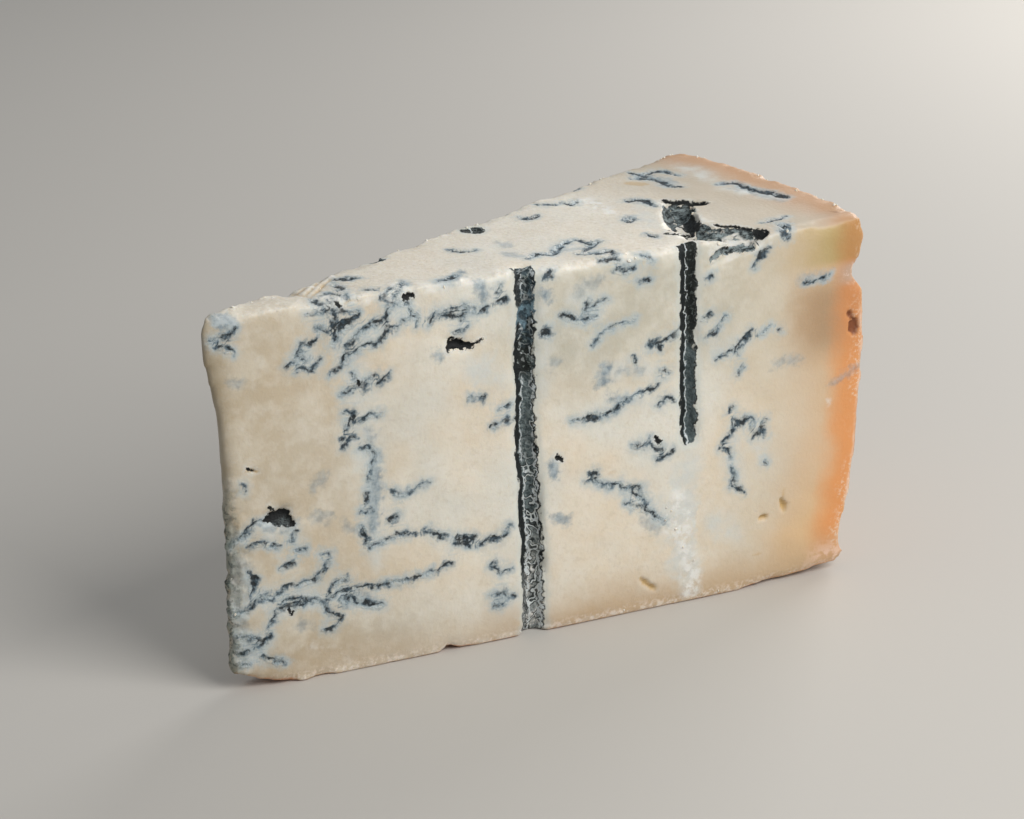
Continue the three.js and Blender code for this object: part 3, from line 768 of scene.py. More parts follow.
def back_veins():
    """Veins of the back cut: each colony has some crooked stems with forks, and dabs beside them."""
    draw = random.Random(BACK_SEED)
    veins = []
    for along, height in BACK_COLONIES:
        lean = draw.uniform(*VEIN_LEAN)
        for _ in range(draw.randint(*STEM_COUNT)):
            start = (along + draw.gauss(0, STEM_SPREAD), height + draw.gauss(0, STEM_SPREAD))
            stem = crooked(draw, start, lean + pi * draw.randint(0, 1), draw.randint(*STEM_STRIDES))
            veins.append((stem, draw.uniform(*STEM_GIRTH)))
            for fork in stem[1::2]:
                turn = lean + draw.choice((-1, 1)) * draw.uniform(*FORK_TURN)
                branch = crooked(draw, fork, turn, draw.randint(*FORK_STRIDES))
                veins.append((branch, draw.uniform(*FORK_GIRTH)))
        for _ in range(draw.randint(*DAB_COUNT)):
            start = (along + draw.gauss(0, DAB_SPREAD[0]), height + draw.gauss(0, DAB_SPREAD[1]))
            dab = crooked(draw, start, lean, draw.randint(*DAB_STRIDES))
            veins.append((dab, draw.uniform(*DAB_GIRTH)))
    return [(points, girth) for points, girth in veins if len(points) > 1]


def back_runs(placing):
    """The veins of the back cut, laid on the skin."""
    return [([placing.nearest(on_back(*p)) for p in smooth_run(points, LINE_STEP / MM)], girth * MM, 0.0)
            for points, girth in back_veins()]


def back_mist(placing, reach, girth, strength):
    """Soft slanting streaks through the colonies of the back cut, in millimetres."""
    steps = range(-reach, reach + 1)
    return [([placing.nearest(on_back(along + i, height + i / 2)) for i in steps], girth * MM, strength)
            for along, height in BACK_COLONIES]


def lobed(burrow):
    """A hollow of the back with lobes round its mouth."""
    (x, z), end, half_width, pale = burrow
    draw = random.Random(round(x))
    lobes = []
    for i in range(LOBE_COUNT):
        share = draw.random()
        start = (x + (end[0] - x) * share, z + (end[1] - z) * share)
        turn = 2 * pi * (i + draw.random()) / LOBE_COUNT
        reach = draw.uniform(*LOBE_REACH) * half_width
        tip = (start[0] + reach * cos(turn), start[1] + reach * sin(turn))
        lobes.append((start, tip, draw.uniform(*LOBE_HALF_WIDTH) * half_width, pale))
    return [burrow, *lobes]


def burrow_runs(burrows, cut):
    """Channels or hollows as lines on one cut, with their girths and the paleness of their linings."""
    point = POINT_ON[cut]
    return [(smooth_run([point(*start), point(*end)], LINE_STEP), 2 * half_width * MM, pale)
            for start, end, half_width, pale in burrows]


def edge_runs():
    """The wedge's edges, with their softness in place of the paleness."""
    top = WEDGE_HEIGHT / MM
    far = WHEEL_RADIUS / MM
    tip = 2
    heel = 18
    by_lip = far - 20
    turns = [WEDGE_ANGLE * i / 12 for i in range(13)]
    lines = [
        ([on_front(tip, top), on_front(far, top)], 0.5),
        ([on_back(tip, top), on_back(far, top)], 0.5),
        ([on_front(heel, 0), on_front(by_lip, 0)], 0.1),
        ([on_front(3.4, 5), on_front(3.2, 46)], 0.0),
        ([on_back(heel, 0), on_back(by_lip, 0), on_back(far - 2, 2)], 0.1),
        ([on_top(far * cos(a), far * sin(a)) for a in turns], 0.3),
    ]
    return [(smooth_run(line, 2 * LINE_STEP), 0.0, softness) for line, softness in lines]


def guide(name, runs, even=False):
    """A wire object with the girth and the paleness of each run at its points. The trees measure from it."""
    draw = random.Random(name)
    points, edges, girths, pales = [], [], [], []
    for run, girth, pale in runs:
        for i, place in enumerate(run):
            if i:
                edges.append((len(points) - 1, len(points)))
            points.append(place)
            taper = 1 if even else 0.5 + 0.5 * sin(pi * (i + 0.5) / len(run))
            girths.append(girth * taper * (1 if even else draw.uniform(*GIRTH_WOBBLE)))
            pales.append(pale)
    mesh = bpy.data.meshes.new(name)
    mesh.from_pydata(points, edges, [])
    for key, values in (("girth", girths), ("pale", pales)):
        mesh.attributes.new(key, "FLOAT", "POINT").data.foreach_set("value", values)
    return new_object(name, mesh)


def refine(piece, guides):
    """Halves the faces near the veins and channels, so that their borders are crisp."""
    places = [v.co for wire in guides for v in wire.data.vertices]
    reaches = [FINE_REACH + a.value / 2 for wire in guides for a in wire.data.attributes["girth"].data]
    near = KDTree(len(places))
    for i, place in enumerate(places):
        near.insert(place, i)
    near.balance()
    skin = bmesh.new()
    skin.from_mesh(piece.data)
    edges = set()
    for face in skin.faces:
        _, index, distance = near.find(face.calc_center_median())
        if distance < reaches[index]:
            edges.update(face.edges)
    bmesh.ops.subdivide_edges(skin, edges=list(edges), cuts=1, use_grid_fill=True)
    skin.to_mesh(piece.data)
    skin.free()


def geometry_tree(name, inputs):
    """An empty tree with a geometry going in and out, and the given inputs, as (name, socket type)."""
    tree = bpy.data.node_groups.new(name, "GeometryNodeTree")
    tree.interface.new_socket("Geometry", in_out="INPUT", socket_type="NodeSocketGeometry")
    tree.interface.new_socket("Geometry", in_out="OUTPUT", socket_type="NodeSocketGeometry")
    for label, kind in inputs:
        tree.interface.new_socket(label, in_out="INPUT", socket_type=kind)
    return tree, Nodes(tree)


def apply_tree(piece, tree, values):
    """Runs a tree on a piece with the given inputs and keeps the result as a plain mesh."""
    modifier = piece.modifiers.new(tree.name, "NODES")
    modifier.node_group = tree
    for item in tree.interface.items_tree:
        if item.in_out == "INPUT" and item.name in values:
            modifier[item.identifier] = values[item.name]
    settle(piece)


def named(n, name):
    """A stored measure as a field of a geometry tree."""
    return n.add("GeometryNodeInputNamedAttribute", {"Name": name}, data_type="FLOAT").outputs[0]


def store(n, geometry, name, value, kind="FLOAT"):
    inputs = {"Geometry": geometry, "Name": name, "Value": value}
    return n.add("GeometryNodeStoreNamedAttribute", inputs, data_type=kind).outputs[0]


def moved(n, geometry, **shift):
    """A geometry with its points at a new Position, or moved by an Offset."""
    return n.add("GeometryNodeSetPosition", {"Geometry": geometry, **shift}).outputs[0]


def from_axis(n, place):
    """A place as seen from the wheel's axis, and its distance from that axis."""
    offset = n.vector("SUBTRACT", place, WHEEL_AXIS)
    return offset, n.vector("LENGTH", n.vector("MULTIPLY", offset, (1, 1, 0)))


def level_with(n, shift, facing):
    """A shift without its part along a facing direction."""
    return n.vector("SUBTRACT", shift, n.vector("SCALE", facing, n.vector("DOT_PRODUCT", shift, facing)))


def probe(n, wire, place, shift, facing):
    """What the nearest run is like: millimetres to its outline, the way from its middle and so on."""
    start = n.vector("ADD", place, level_with(n, shift, facing))
    geometry = n.add("GeometryNodeObjectInfo", {"Object": wire}).outputs["Geometry"]
    inputs = {"Geometry": geometry, "Sample Position": start}
    hit = n.add("GeometryNodeProximity", inputs, target_element="EDGES").outputs
    index = n.add("GeometryNodeSampleNearest", inputs).outputs[0]

    def told(key):
        inputs = {"Geometry": geometry, "Value": named(n, key), "Index": index}
        return n.add("GeometryNodeSampleIndex", inputs).outputs[0]

    girth = told("girth")
    return {
        "": n.math("DIVIDE", n.math("SUBTRACT", hit["Distance"], n.math("DIVIDE", girth, 2.0)), MM),
        " way": n.vector("SCALE", n.vector("SUBTRACT", start, hit["Position"]), 1 / MM),
        " girth": n.math("DIVIDE", girth, MM),
        " facing": n.vector("NORMALIZE", facing),
        " pale": told("pale"),
    }


def nearer_of(n, first, second):
    """The one of two probes whose outline is nearer."""
    closer = n.add("FunctionNodeCompare", {"A": second[""], "B": first[""]}, operation="LESS_THAN").outputs[0]

    def choose(key):
        inputs = {"Switch": closer, "False": first[key], "True": second[key]}
        kind = "VECTOR" if key in VECTORS else "FLOAT"
        return n.add("GeometryNodeSwitch", inputs, input_type=kind).outputs[0]

    return {key: choose(key) for key in first}


def measured(n, geometry, wires):
    """Stores, for each guide, what the relief and the paint need to know about its nearest run."""
    place = n.add("GeometryNodeInputPosition").outputs[0]
    normal = n.add("GeometryNodeInputNormal").outputs[0]
    offset, _ = from_axis(n, place)
    sway = n.shake(place, 3.2 * MM, 3, 0.6)
    found = {}
    for name, (wander, _) in ON_SKIN.items():
        found[name] = probe(n, wires[name], place, n.vector("SCALE", sway, 2 * wander), normal)
    for name, (wander, _) in ON_CUTS.items():
        for cut, (outward, reach) in CUTS.items():
            below = n.math("SUBTRACT", reach, n.vector("DOT_PRODUCT", offset, outward))
            flat = n.vector("ADD", place, n.vector("SCALE", outward, below))
            told = probe(n, wires[f"{name} {cut}"], flat, n.vector("SCALE", sway, 2 * wander), outward)
            told[""] = n.total(told[""], n.ramp(below, *LINING_DEPTH, 0, OUT_OF_REACH))
            found[name] = nearer_of(n, found[name], told) if name in found else told
    for name, (_, keys) in {**ON_SKIN, **ON_CUTS}.items():
        for key in keys:
            kind = "FLOAT_VECTOR" if key in VECTORS else "FLOAT"
            geometry = store(n, geometry, name + key, found[name][key], kind)
    return geometry


def softened(n, geometry, place, height, radius):
    """The facets softened everywhere, but less on the lip of the foot, and the edges softened more."""
    near_edge = n.product(n.fade(named(n, "edges"), 1.0, 4.0), named(n, "edges pale"))
    on_lip = n.product(n.ramp(height, *LIP_HEIGHTS), n.ramp(radius, *LIP_RADII))
    for rounds, weight in ((FACET_ROUNDS, n.ramp(on_lip, 0, 1, 1.0, 0.2)), (EDGE_ROUNDS, near_edge)):
        inputs = {"Value": place, "Iterations": rounds, "Weight": weight}
        soft = n.add("GeometryNodeBlurAttribute", inputs, data_type="FLOAT_VECTOR").outputs[0]
        geometry = moved(n, geometry, Position=soft)
    return geometry


def sides_told(n, geometry, offset, radius, normal):
    """Stores where the rind with the foot is, and where the top is."""
    upwards = n.xyz(normal)[2]
    outwards = n.vector("DOT_PRODUCT", normal, n.vector("NORMALIZE", n.vector("MULTIPLY", offset, (1, 1, 0))))
    side = n.product(n.ramp(outwards, 0.45, 0.8), n.ramp(radius, *RIND_RADII))
    geometry = store(n, geometry, "skin", n.most(side, n.ramp(upwards, -0.5, -0.85)))
    return store(n, geometry, "top", n.ramp(upwards, 0.3, 0.75))


def relief(n, given, place, offset):
    """How far each point of the skin is lifted: each kind of relief has its shape times its given size."""
    def bumps(size, detail, middle=0.5, where=place):
        return n.math("SUBTRACT", n.noise(where, size * MM, detail, 0.6), middle)

    along, _, height = n.xyz(offset)
    worn_tip = n.product(n.fade(along, 4 * MM, 9 * MM), n.fade(height, 34 * MM, 48 * MM))
    streaks = n.vector("MULTIPLY", place, (0.15, 0.15, 1.0))
    lining = n.least(named(n, "needles"), named(n, "hollows"))
    shapes = {
        "Paste Relief": [bumps(6, 4)],
        "Knife Drag": [bumps(2.5, 2, where=streaks)],
        "Vein Depth": [n.ramp(named(n, "veins"), -0.3, 0.2, -1, 0)],
        "Pit Depth": [n.ramp(named(n, "pits"), -0.6, 0.2, -1, 0), named(n, "pits pale")],
        "Hollow Depth": [n.ramp(named(n, "hollows"), -0.7, 0.1, -1, 0)],
        "Lining Relief": [bumps(2.0, 3), n.fade(lining, -0.4, 0.4)],
        "Crumble": [bumps(2.6, 4, 0.55), n.fade(named(n, "edges"), 0.5, 3.0)],
        "Chalk Relief": [bumps(2.4, 4), n.fade(named(n, "chalk"), -1.2, 1.0)],
        "Rind Relief": [bumps(4, 5), named(n, "skin")],
        "Tip Relief": [bumps(2.2, 4, 0.56), worn_tip],
        "Inset": [-1.0],
    }
    return n.total(*(n.product(given[name], *shape) for name, shape in shapes.items()))


def relief_tree():
    """Measures how far each point is from the veins and edges, and softens and roughens the skin to suit."""
    inputs = [(name, "NodeSocketObject") for name in WIRES]
    inputs += [(name, "NodeSocketFloat") for name in RELIEF]
    inputs += [("Material", "NodeSocketMaterial")]
    tree, n = geometry_tree("mould and relief", inputs)
    given = n.add("NodeGroupInput").outputs
    place = n.add("GeometryNodeInputPosition").outputs[0]
    normal = n.add("GeometryNodeInputNormal").outputs[0]
    height = n.xyz(place)[2]
    offset, radius = from_axis(n, place)

    geometry = measured(n, given["Geometry"], given)
    geometry = softened(n, geometry, place, height, radius)
    geometry = sides_told(n, geometry, offset, radius, normal)
    off_foot = n.ramp(height, 0.3 * MM, 1.5 * MM)
    lift = n.product(relief(n, given, place, offset), off_foot)
    geometry = moved(n, geometry, Offset=n.vector("SCALE", normal, lift))
    geometry = n.add("GeometryNodeSetShadeSmooth", {"Geometry": geometry}).outputs[0]
    geometry = n.add("GeometryNodeRealizeInstances", {"Geometry": geometry}).outputs[0]
    finished = n.add("GeometryNodeSetMaterial", {"Geometry": geometry, "Material": given["Material"]})
    n.add("NodeGroupOutput", {"Geometry": finished.outputs[0]})
    return tree


def crumb_tree():
    """Scatters small lumpy crumbs where the edges and the chalky ridge have broken."""
    inputs = [("Density", "NodeSocketFloat"), ("Smallest", "NodeSocketFloat"), ("Largest", "NodeSocketFloat")]
    inputs += [("Seed", "NodeSocketInt"), ("Material", "NodeSocketMaterial")]
    tree, n = geometry_tree("crumbs", inputs)
    given = n.add("NodeGroupInput").outputs
    place = n.add("GeometryNodeInputPosition").outputs[0]

    def drawn(low, high):
        """A random vector for each crumb."""
        return n.add("FunctionNodeRandomValue", {0: low, 1: high}, data_type="FLOAT_VECTOR").outputs[0]

    broken = n.most(n.fade(named(n, "edges"), 0.3, 2.0, 0.3), n.fade(named(n, "chalk"), -0.8, 0.6, 0.12))
    broken = n.product(broken, n.fade(named(n, "skin"), 0.0, 0.3))
    patches = n.ramp(n.noise(place, 7 * MM, 2), 0.45, 0.62)
    off_foot = n.ramp(n.xyz(place)[2], 0.5 * MM, 1.0 * MM)
    density = n.product(given["Density"], broken, patches, off_foot)
    scatter = {"Mesh": given["Geometry"], "Density": density, "Seed": given["Seed"]}
    points = n.add("GeometryNodeDistributePointsOnFaces", scatter).outputs[0]
    limits = {2: given["Smallest"], 3: given["Largest"], "Seed": given["Seed"]}
    size = n.add("FunctionNodeRandomValue", limits).outputs[1]
    crumb = n.add("GeometryNodeMeshIcoSphere", {"Radius": 1.0, "Subdivisions": 1}).outputs[0]
    scale = n.vector("SCALE", drawn((0.6, 0.6, 0.6), (1.5, 1.1, 1.0)), size)
    turn = drawn((0, 0, 0), (2 * pi, 2 * pi, 2 * pi))
    copies = {"Points": points, "Instance": crumb, "Rotation": turn, "Scale": scale}
    geometry = n.add("GeometryNodeInstanceOnPoints", copies).outputs[0]
    geometry = n.add("GeometryNodeRealizeInstances", {"Geometry": geometry}).outputs[0]
    geometry = moved(n, geometry, Offset=n.vector("SCALE", n.shake(place, 0.5 * MM, 1), 0.35 * MM))
    finished = n.add("GeometryNodeSetMaterial", {"Geometry": geometry, "Material": given["Material"]})
    n.add("NodeGroupOutput", {"Geometry": finished.outputs[0]})
    return tree


def new_material(name):
    material = bpy.data.materials.new(name)
    material.use_nodes = True
    return material, Nodes(material.node_tree), material.node_tree.nodes["Principled BSDF"]


def let_light_in(shader, weight):
    """Lets a little light under the surface, as fat paste does."""
    shader.inputs["Subsurface Weight"].default_value = weight
    shader.inputs["Subsurface Radius"].default_value = (1.0, 0.7, 0.4)
    shader.inputs["Subsurface Scale"].default_value = 0.8 * MM


class Paint:
    """Noise and stored measures for one material, in millimetres."""

    def __init__(self, n):
        self.n = n
        self.place = n.add("ShaderNodeTexCoord").outputs["Object"]

    def told(self, name, output="Fac"):
        return self.n.add("ShaderNodeAttribute", attribute_name=name).outputs[output]

    def spots(self, size, low, high, detail=3):
        """Patches from 0 to 1, about a size across, where noise goes from low to high."""
        return self.n.ramp(self.n.noise(self.place, size * MM, detail, 0.6), low, high)

    def swing(self, size, amount):
        """Noise about zero that mostly stays within a quarter of the amount."""
        noise = self.n.noise(self.place, size * MM, 3, 0.6)
        return self.n.product(self.n.math("SUBTRACT", noise, 0.5), amount)

    def run(self, name, size, amount):
        """How far the middle of the nearest run is, half its girth, and the way from it, shaken a little."""
        n = self.n
        shake = n.vector("SCALE", n.shake(self.place, size * MM, 2, 0.6), amount)
        shake = level_with(n, shake, self.told(name + " facing", "Vector"))
        way = n.vector("ADD", self.told(name + " way", "Vector"), shake)
        half = n.math("DIVIDE", self.told(name + " girth"), 2.0)
        return n.most(n.vector("LENGTH", way), n.total(self.told(name), half, -0.5)), half, way


def paste_colour(p, along, height):
    """Ivory paste with a fine grain, darker high on the front, and warmer and darker towards the tip and the
    heel, where the darkening is painted shade.
    """
    n = p.n
    top = p.told("top")
    front = n.math("SUBTRACT", 1.0, top)
    # Painted shade low on the heel, where less light falls.
    heel = n.product(n.fade(along, 30, 72, 0.5), n.fade(height, 4, 24))
    upper = n.product(front, n.ramp(height, 42, 64, 0, 0.75), n.ramp(along, 50, 74))
    ivory = n.blend(p.spots(26, 0.38, 0.62, 2), rgb(219, 216, 205), rgb(222, 209, 188))
    return n.coats(ivory, {
        # Warmer paste towards the tip, darkened with painted shade as well.
        "warm paste and painted shade towards the tip": (n.fade(along, 6, 58, 0.9), rgb(190, 174, 148)),
        "painted shade on the heel": (heel, rgb(172, 158, 134)),
        "dull upper front": (upper, rgb(182, 177, 160)),
        "pale top": (n.product(top, 0.6), rgb(218, 211, 198)),
        "pale clouds": (n.product(p.spots(9, 0.42, 0.62), 0.3), rgb(230, 225, 212)),
        "pale flecks": (n.product(p.spots(3.2, 0.42, 0.66), 0.2), rgb(234, 230, 220)),
        "tan flecks": (n.product(p.spots(1.2, 0.5, 0.7), 0.22), rgb(190, 177, 154)),
        # Painted shade on the tip's end face, which turns away from the light.
        "painted shade on the tip's end": (n.fade(along, 0.5, 7, 0.6), rgb(140, 124, 96)),
        "pale grain of the top": (n.product(top, p.spots(1.0, 0.48, 0.64), 0.35), rgb(236, 231, 222)),
        "tan grain of the top": (n.product(top, p.spots(0.7, 0.56, 0.7), 0.3), rgb(168, 154, 134)),
    })


def rind_colour(p, frost):
    """Reddish and tan patches with pores, under a grey bloom and pale specks."""
    n = p.n
    patches = n.blend(p.spots(12, 0.4, 0.62, 4), rgb(200, 130, 78), rgb(220, 168, 118))
    return n.coats(patches, {
        "pale patches": (n.product(p.spots(5, 0.4, 0.66, 5), 0.6), rgb(230, 196, 156)),
        "grey bloom": (n.product(p.spots(20, 0.48, 0.66), 0.5), rgb(196, 178, 156)),
        "pores": (n.product(p.spots(0.9, 0.54, 0.68), 0.4), rgb(168, 112, 70)),
        "frost": (n.product(frost, 0.4), rgb(242, 230, 214)),
    })


def rind_over(p, colour, along, height, radius):
    """The rind and the paste near it: tan, then a wide fade into orange, ochre above, pale in the crease,
    with painted shade low along the foot and frost with a painted highlight on the rind's edge.
    """
    n = p.n
    top = p.told("top")
    front = n.math("SUBTRACT", 1.0, top)
    sway = p.swing(9, 6)
    depth = n.total(n.math("SUBTRACT", WHEEL_RADIUS / MM + 1, radius), sway, n.ramp(height, 0, 40, -4, 0))
    low = n.fade(height, 8, 30)
    high = n.ramp(height, 69, 72)
    dusk = n.product(n.band(height, 59, 3, 13, 0.95), n.fade(depth, 10, 22))
    orange = n.blend(n.ramp(height, 44, 62), rgb(222, 150, 90), rgb(204, 138, 86))
    orange = n.blend(high, orange, rgb(184, 134, 82))
    frost = n.product(p.spots(0.7, 0.48, 0.64), p.spots(11, 0.38, 0.6, 2))
    crease = n.product(n.band(height, 68, 0.8, 3.4), n.fade(depth, 3, 9, 0.85))
    # Painted shade: a darker tan band low on the front, towards the foot.
    foot = n.product(n.fade(n.total(height, sway), 1, 12, 0.9), n.ramp(along, 45, 75, 0.4, 1))
    dusted = n.product(n.fade(depth, 3, 10, 0.75), n.fade(height, 3, 9), p.spots(2.2, 0.4, 0.58))
    crusted = n.product(n.fade(height, 0.6, 3.4, 0.65), p.spots(0.9, 0.45, 0.62))
    return n.coats(colour, {
        "tan top": (n.product(top, n.fade(depth, 12, 48, 0.9)), rgb(184, 170, 149)),
        "tan front": (n.product(front, n.fade(depth, 8, 46, 0.8)), rgb(202, 187, 163)),
        "amber front": (n.product(front, n.fade(depth, 4, 24, 0.7)), rgb(214, 175, 132)),
        "amber foot": (n.product(low, n.fade(depth, 6, 24, 0.7)), rgb(222, 186, 138)),
        "amber top": (n.product(top, n.fade(depth, 4, 15, 0.85)), rgb(194, 156, 126)),
        "dusky band": (dusk, rgb(172, 142, 110)),
        "ochre corner": (n.product(high, front, n.fade(depth, 6, 22, 0.95)), rgb(178, 157, 106)),
        "orange": (n.product(n.fade(depth, 2.5, 10, 0.94), n.ramp(top, 0, 1, 1, 0.5)), orange),
        "pale crease": (crease, n.blend(frost, rgb(186, 162, 144), rgb(226, 212, 202))),
        "frost": (n.product(n.fade(depth, 0.4, 4.0, 0.6), frost), rgb(236, 214, 192)),
        # Frost and a painted highlight: a thin pale line along the rind's front edge.
        "frost and painted highlight on the edge": (n.fade(depth, -0.8, 0.8, 0.6), rgb(238, 220, 204)),
        "painted shade along the foot": (foot, rgb(188, 162, 130)),
        "dusted corner": (dusted, rgb(232, 200, 180)),
        "crusted foot": (crusted, rgb(232, 218, 204)),
        "rind": (p.told("skin"), rind_colour(p, frost)),
    })


def mould_over(p, colour):
    """Bleached zones, smears, and veins with misty fringes and dark cores. Also gives the cores' mask."""
    n = p.n
    middle, half, _ = p.run("veins", 1.8, 2.6)
    drift = n.noise(p.place, 3.5 * MM, 3)
    speckle = p.spots(1.3, 0.38, 0.64)
    zone = n.product(n.fade(p.told("zones"), -2.4, 2.4, 0.8), n.ramp(drift, 0.32, 0.6, 0.35, 1))
    smear = n.fade(n.total(p.told("smears"), p.swing(1.6, 4)), -0.8, 1.4)
    swell = n.product(n.math("SUBTRACT", drift, 0.5), 1.4)
    core = n.total(middle, n.product(half, -0.64), p.swing(1.2, 0.9), swell)
    mist = n.product(n.fade(core, 0.3, 2.2, 0.9), n.ramp(drift, 0.38, 0.62, 0.35, 1))
    fringe = n.product(n.fade(core, 0.0, 0.8, 0.9), n.ramp(speckle, 0, 1, 0.5, 1))
    dark = n.fade(core, -0.3, 0.22, 0.95)
    return n.coats(colour, {
        "bleached zone": (zone, rgb(206, 209, 205)),
        "smear": (n.product(smear, p.told("smears pale")),
                  n.blend(speckle, rgb(160, 173, 179), rgb(112, 130, 142))),
        "mist": (mist, rgb(178, 188, 190)),
        "fringe": (fringe, n.blend(speckle, rgb(132, 149, 158), rgb(94, 113, 125))),
        "dark core": (dark, n.blend(p.spots(1.1, 0.45, 0.65), rgb(18, 27, 32), rgb(52, 70, 82))),
    }), dark


def tip_over(p, colour, along, height):
    """Grey mould and dark specks on the worn lower edge of the tip, darkened with painted shade where the
    edge curves away from the light.
    """
    n = p.n
    worn = n.product(n.fade(along, 2, 7, 0.9), n.fade(height, 34, 50))
    return n.coats(colour, {
        "grey mould with painted shade": (n.product(worn, p.spots(1.8, 0.38, 0.56)), rgb(128, 137, 128)),
        "dark specks with painted shade": (n.product(worn, p.spots(1.1, 0.5, 0.62)), rgb(48, 60, 57)),
    })


def pits_over(p, colour, radius):
    """Ochre in the small pits and creases, and brown where a pit is in the rind."""
    n = p.n
    pitted = n.product(n.fade(p.told("pits"), -0.5, 0.4), n.ramp(p.told("pits pale"), 0, 1, 0.5, 0.85))
    return n.blend(pitted, colour, n.blend(n.ramp(radius, 139, 143), rgb(188, 154, 96), rgb(104, 48, 24)))


def chalk_over(p, colour, radius):
    """White chalk on the ridge and along the crumbled edges. Also gives its mask."""
    n = p.n
    crumbly = n.product(n.fade(p.told("edges"), 0.4, 2.2, 0.25), n.fade(radius, 118, 134))
    chalk = n.product(n.most(n.fade(p.told("chalk"), -1.8, 1.0, 0.85), crumbly), p.spots(2.0, 0.4, 0.6))
    return n.blend(chalk, colour, rgb(230, 229, 224)), chalk


def needles_over(p, colour, height):
    """Linings of the needle channels: grey, dim and bluish above and white below, with painted highlight
    lines and black lines that are mould and painted shade. Also gives their mask.
    """
    n = p.n
    middle, half, way = p.run("needles", 1.6, 1.6)
    pale = p.told("needles pale")
    mould_and_shade_black = rgb(14, 21, 22)
    fuzz = p.spots(0.9, 0.38, 0.66)
    blobs = p.spots(2.2, 0.42, 0.58)
    level = n.total(height, p.swing(5, 24))
    flecks = n.product(p.spots(0.8, 0.54, 0.66), n.ramp(pale, 0.35, 1.0, 0.35, 1))
    blue = n.product(n.ramp(level, 66, 70), n.ramp(level, 74, 77, 1, 0.3), n.ramp(pale, 0.5, 0.9))
    white = n.product(n.fade(level, 11, 26), n.ramp(blobs, 0, 1, 0.3, 1))
    grey = n.blend(n.product(fuzz, n.ramp(pale, 0, 1, 0.25, 1)), rgb(68, 80, 82), rgb(120, 132, 133))
    lining = n.coats(grey, {
        "dim part": (n.ramp(level, 56, 62), n.blend(flecks, rgb(24, 31, 29), rgb(132, 142, 138))),
        "blue part": (blue, n.blend(blobs, rgb(114, 141, 154), rgb(40, 58, 67))),
        "white part": (white, n.blend(fuzz, rgb(150, 151, 147), rgb(226, 225, 219))),
    })

    # Black and white loops of folded mould
    folds = n.noise(p.place, 1.9 * MM, 1)
    looped = n.total(n.ramp(level, 30, 44, 0.85, 0.1), n.ramp(level, 56, 64, 0, 0.25))
    looped = n.product(looped, n.ramp(pale, 0.35, 1.0), n.ramp(blue, 0, 1, 1, 0.1))
    for line, tone in ((0.56, mould_and_shade_black), (0.44, mould_and_shade_black), (0.5, rgb(214, 220, 219))):
        lining = n.blend(n.product(n.band(folds, line, 0.014, 0.044), looped), lining, tone)

    # Lines along the channel: black mould with painted shade on the wall at the left and at the lips, and
    # painted highlight lines beside the grey
    across = n.math("DIVIDE", n.xyz(way)[0], half)
    shifted = n.total(across, n.ramp(pale, 0.35, 1.0, -0.15, 0))
    painted_highlight = n.most(n.band(shifted, -0.14, 0.03, 0.12), n.product(n.band(shifted, 0.84, 0.03, 0.11), pale))
    beaded = n.product(n.ramp(level, 54, 60), n.ramp(pale, 0.5, 0.9))
    beads = n.ramp(n.noise(p.place, 1.4 * MM, 2),
                   n.ramp(beaded, 0, 1, 0.36, 0.5), n.ramp(beaded, 0, 1, 0.46, 0.56))
    painted_highlight = n.product(painted_highlight, beads, n.ramp(blue, 0, 1, 1, 0.1))
    # Black mould with painted shade: the wall at the left and the lips of the channel.
    black = n.most(n.fade(shifted, -0.36, -0.26), n.ramp(n.math("ABSOLUTE", across), 0.88, 0.98))
    black = n.product(black, n.ramp(level, 4, 14, 0.4, 1), n.ramp(blue, 0, 1, 1, 0.2))
    lining = n.coats(lining, {"painted highlight lines": (painted_highlight, rgb(196, 202, 203)), "black mould and painted shade lines": (black, mould_and_shade_black)})

    edge = n.total(middle, n.product(half, -1.06), p.swing(1.5, 0.9))
    inside = n.fade(edge, -0.14, 0.16)
    bleached = n.blend(n.fade(edge, 0.0, 2.2, 0.6), colour, rgb(198, 204, 200))
    return n.blend(inside, bleached, lining), inside


def hollows_over(p, colour):
    """Linings of the hollows: grey fibres, or plain black for mould and painted shade, with a bleached rim.
    Also gives their mask.
    """
    n = p.n
    middle, half, _ = p.run("hollows", 1.0, 1.4)
    strands = n.noise(n.vector("MULTIPLY", p.place, (0.6, 1.0, 1.6)), 1.0 * MM, 4, 0.7)
    fibres = n.blend(n.ramp(strands, 0.4, 0.6), rgb(24, 33, 35), rgb(136, 147, 148))
    # A paleness of 0 gives plain black: mould and the painted shade deep in the hollow.
    lining = n.blend(p.told("hollows pale"), rgb(10, 14, 15), fibres)
    edge = n.total(middle, n.product(half, -1.0), p.swing(0.6, 0.9))
    rim = n.product(n.fade(edge, 0.2, 1.3, 0.4), p.spots(1.8, 0.36, 0.56))
    off_ridges = n.ramp(p.told("chalk"), -0.6, 0.1, 0.1, 1)
    inside = n.product(n.fade(edge, -0.1, 0.12), off_ridges)
    return n.coats(colour, {"bleached rim": (rim, rgb(212, 215, 212)), "lining": (inside, lining)}), inside


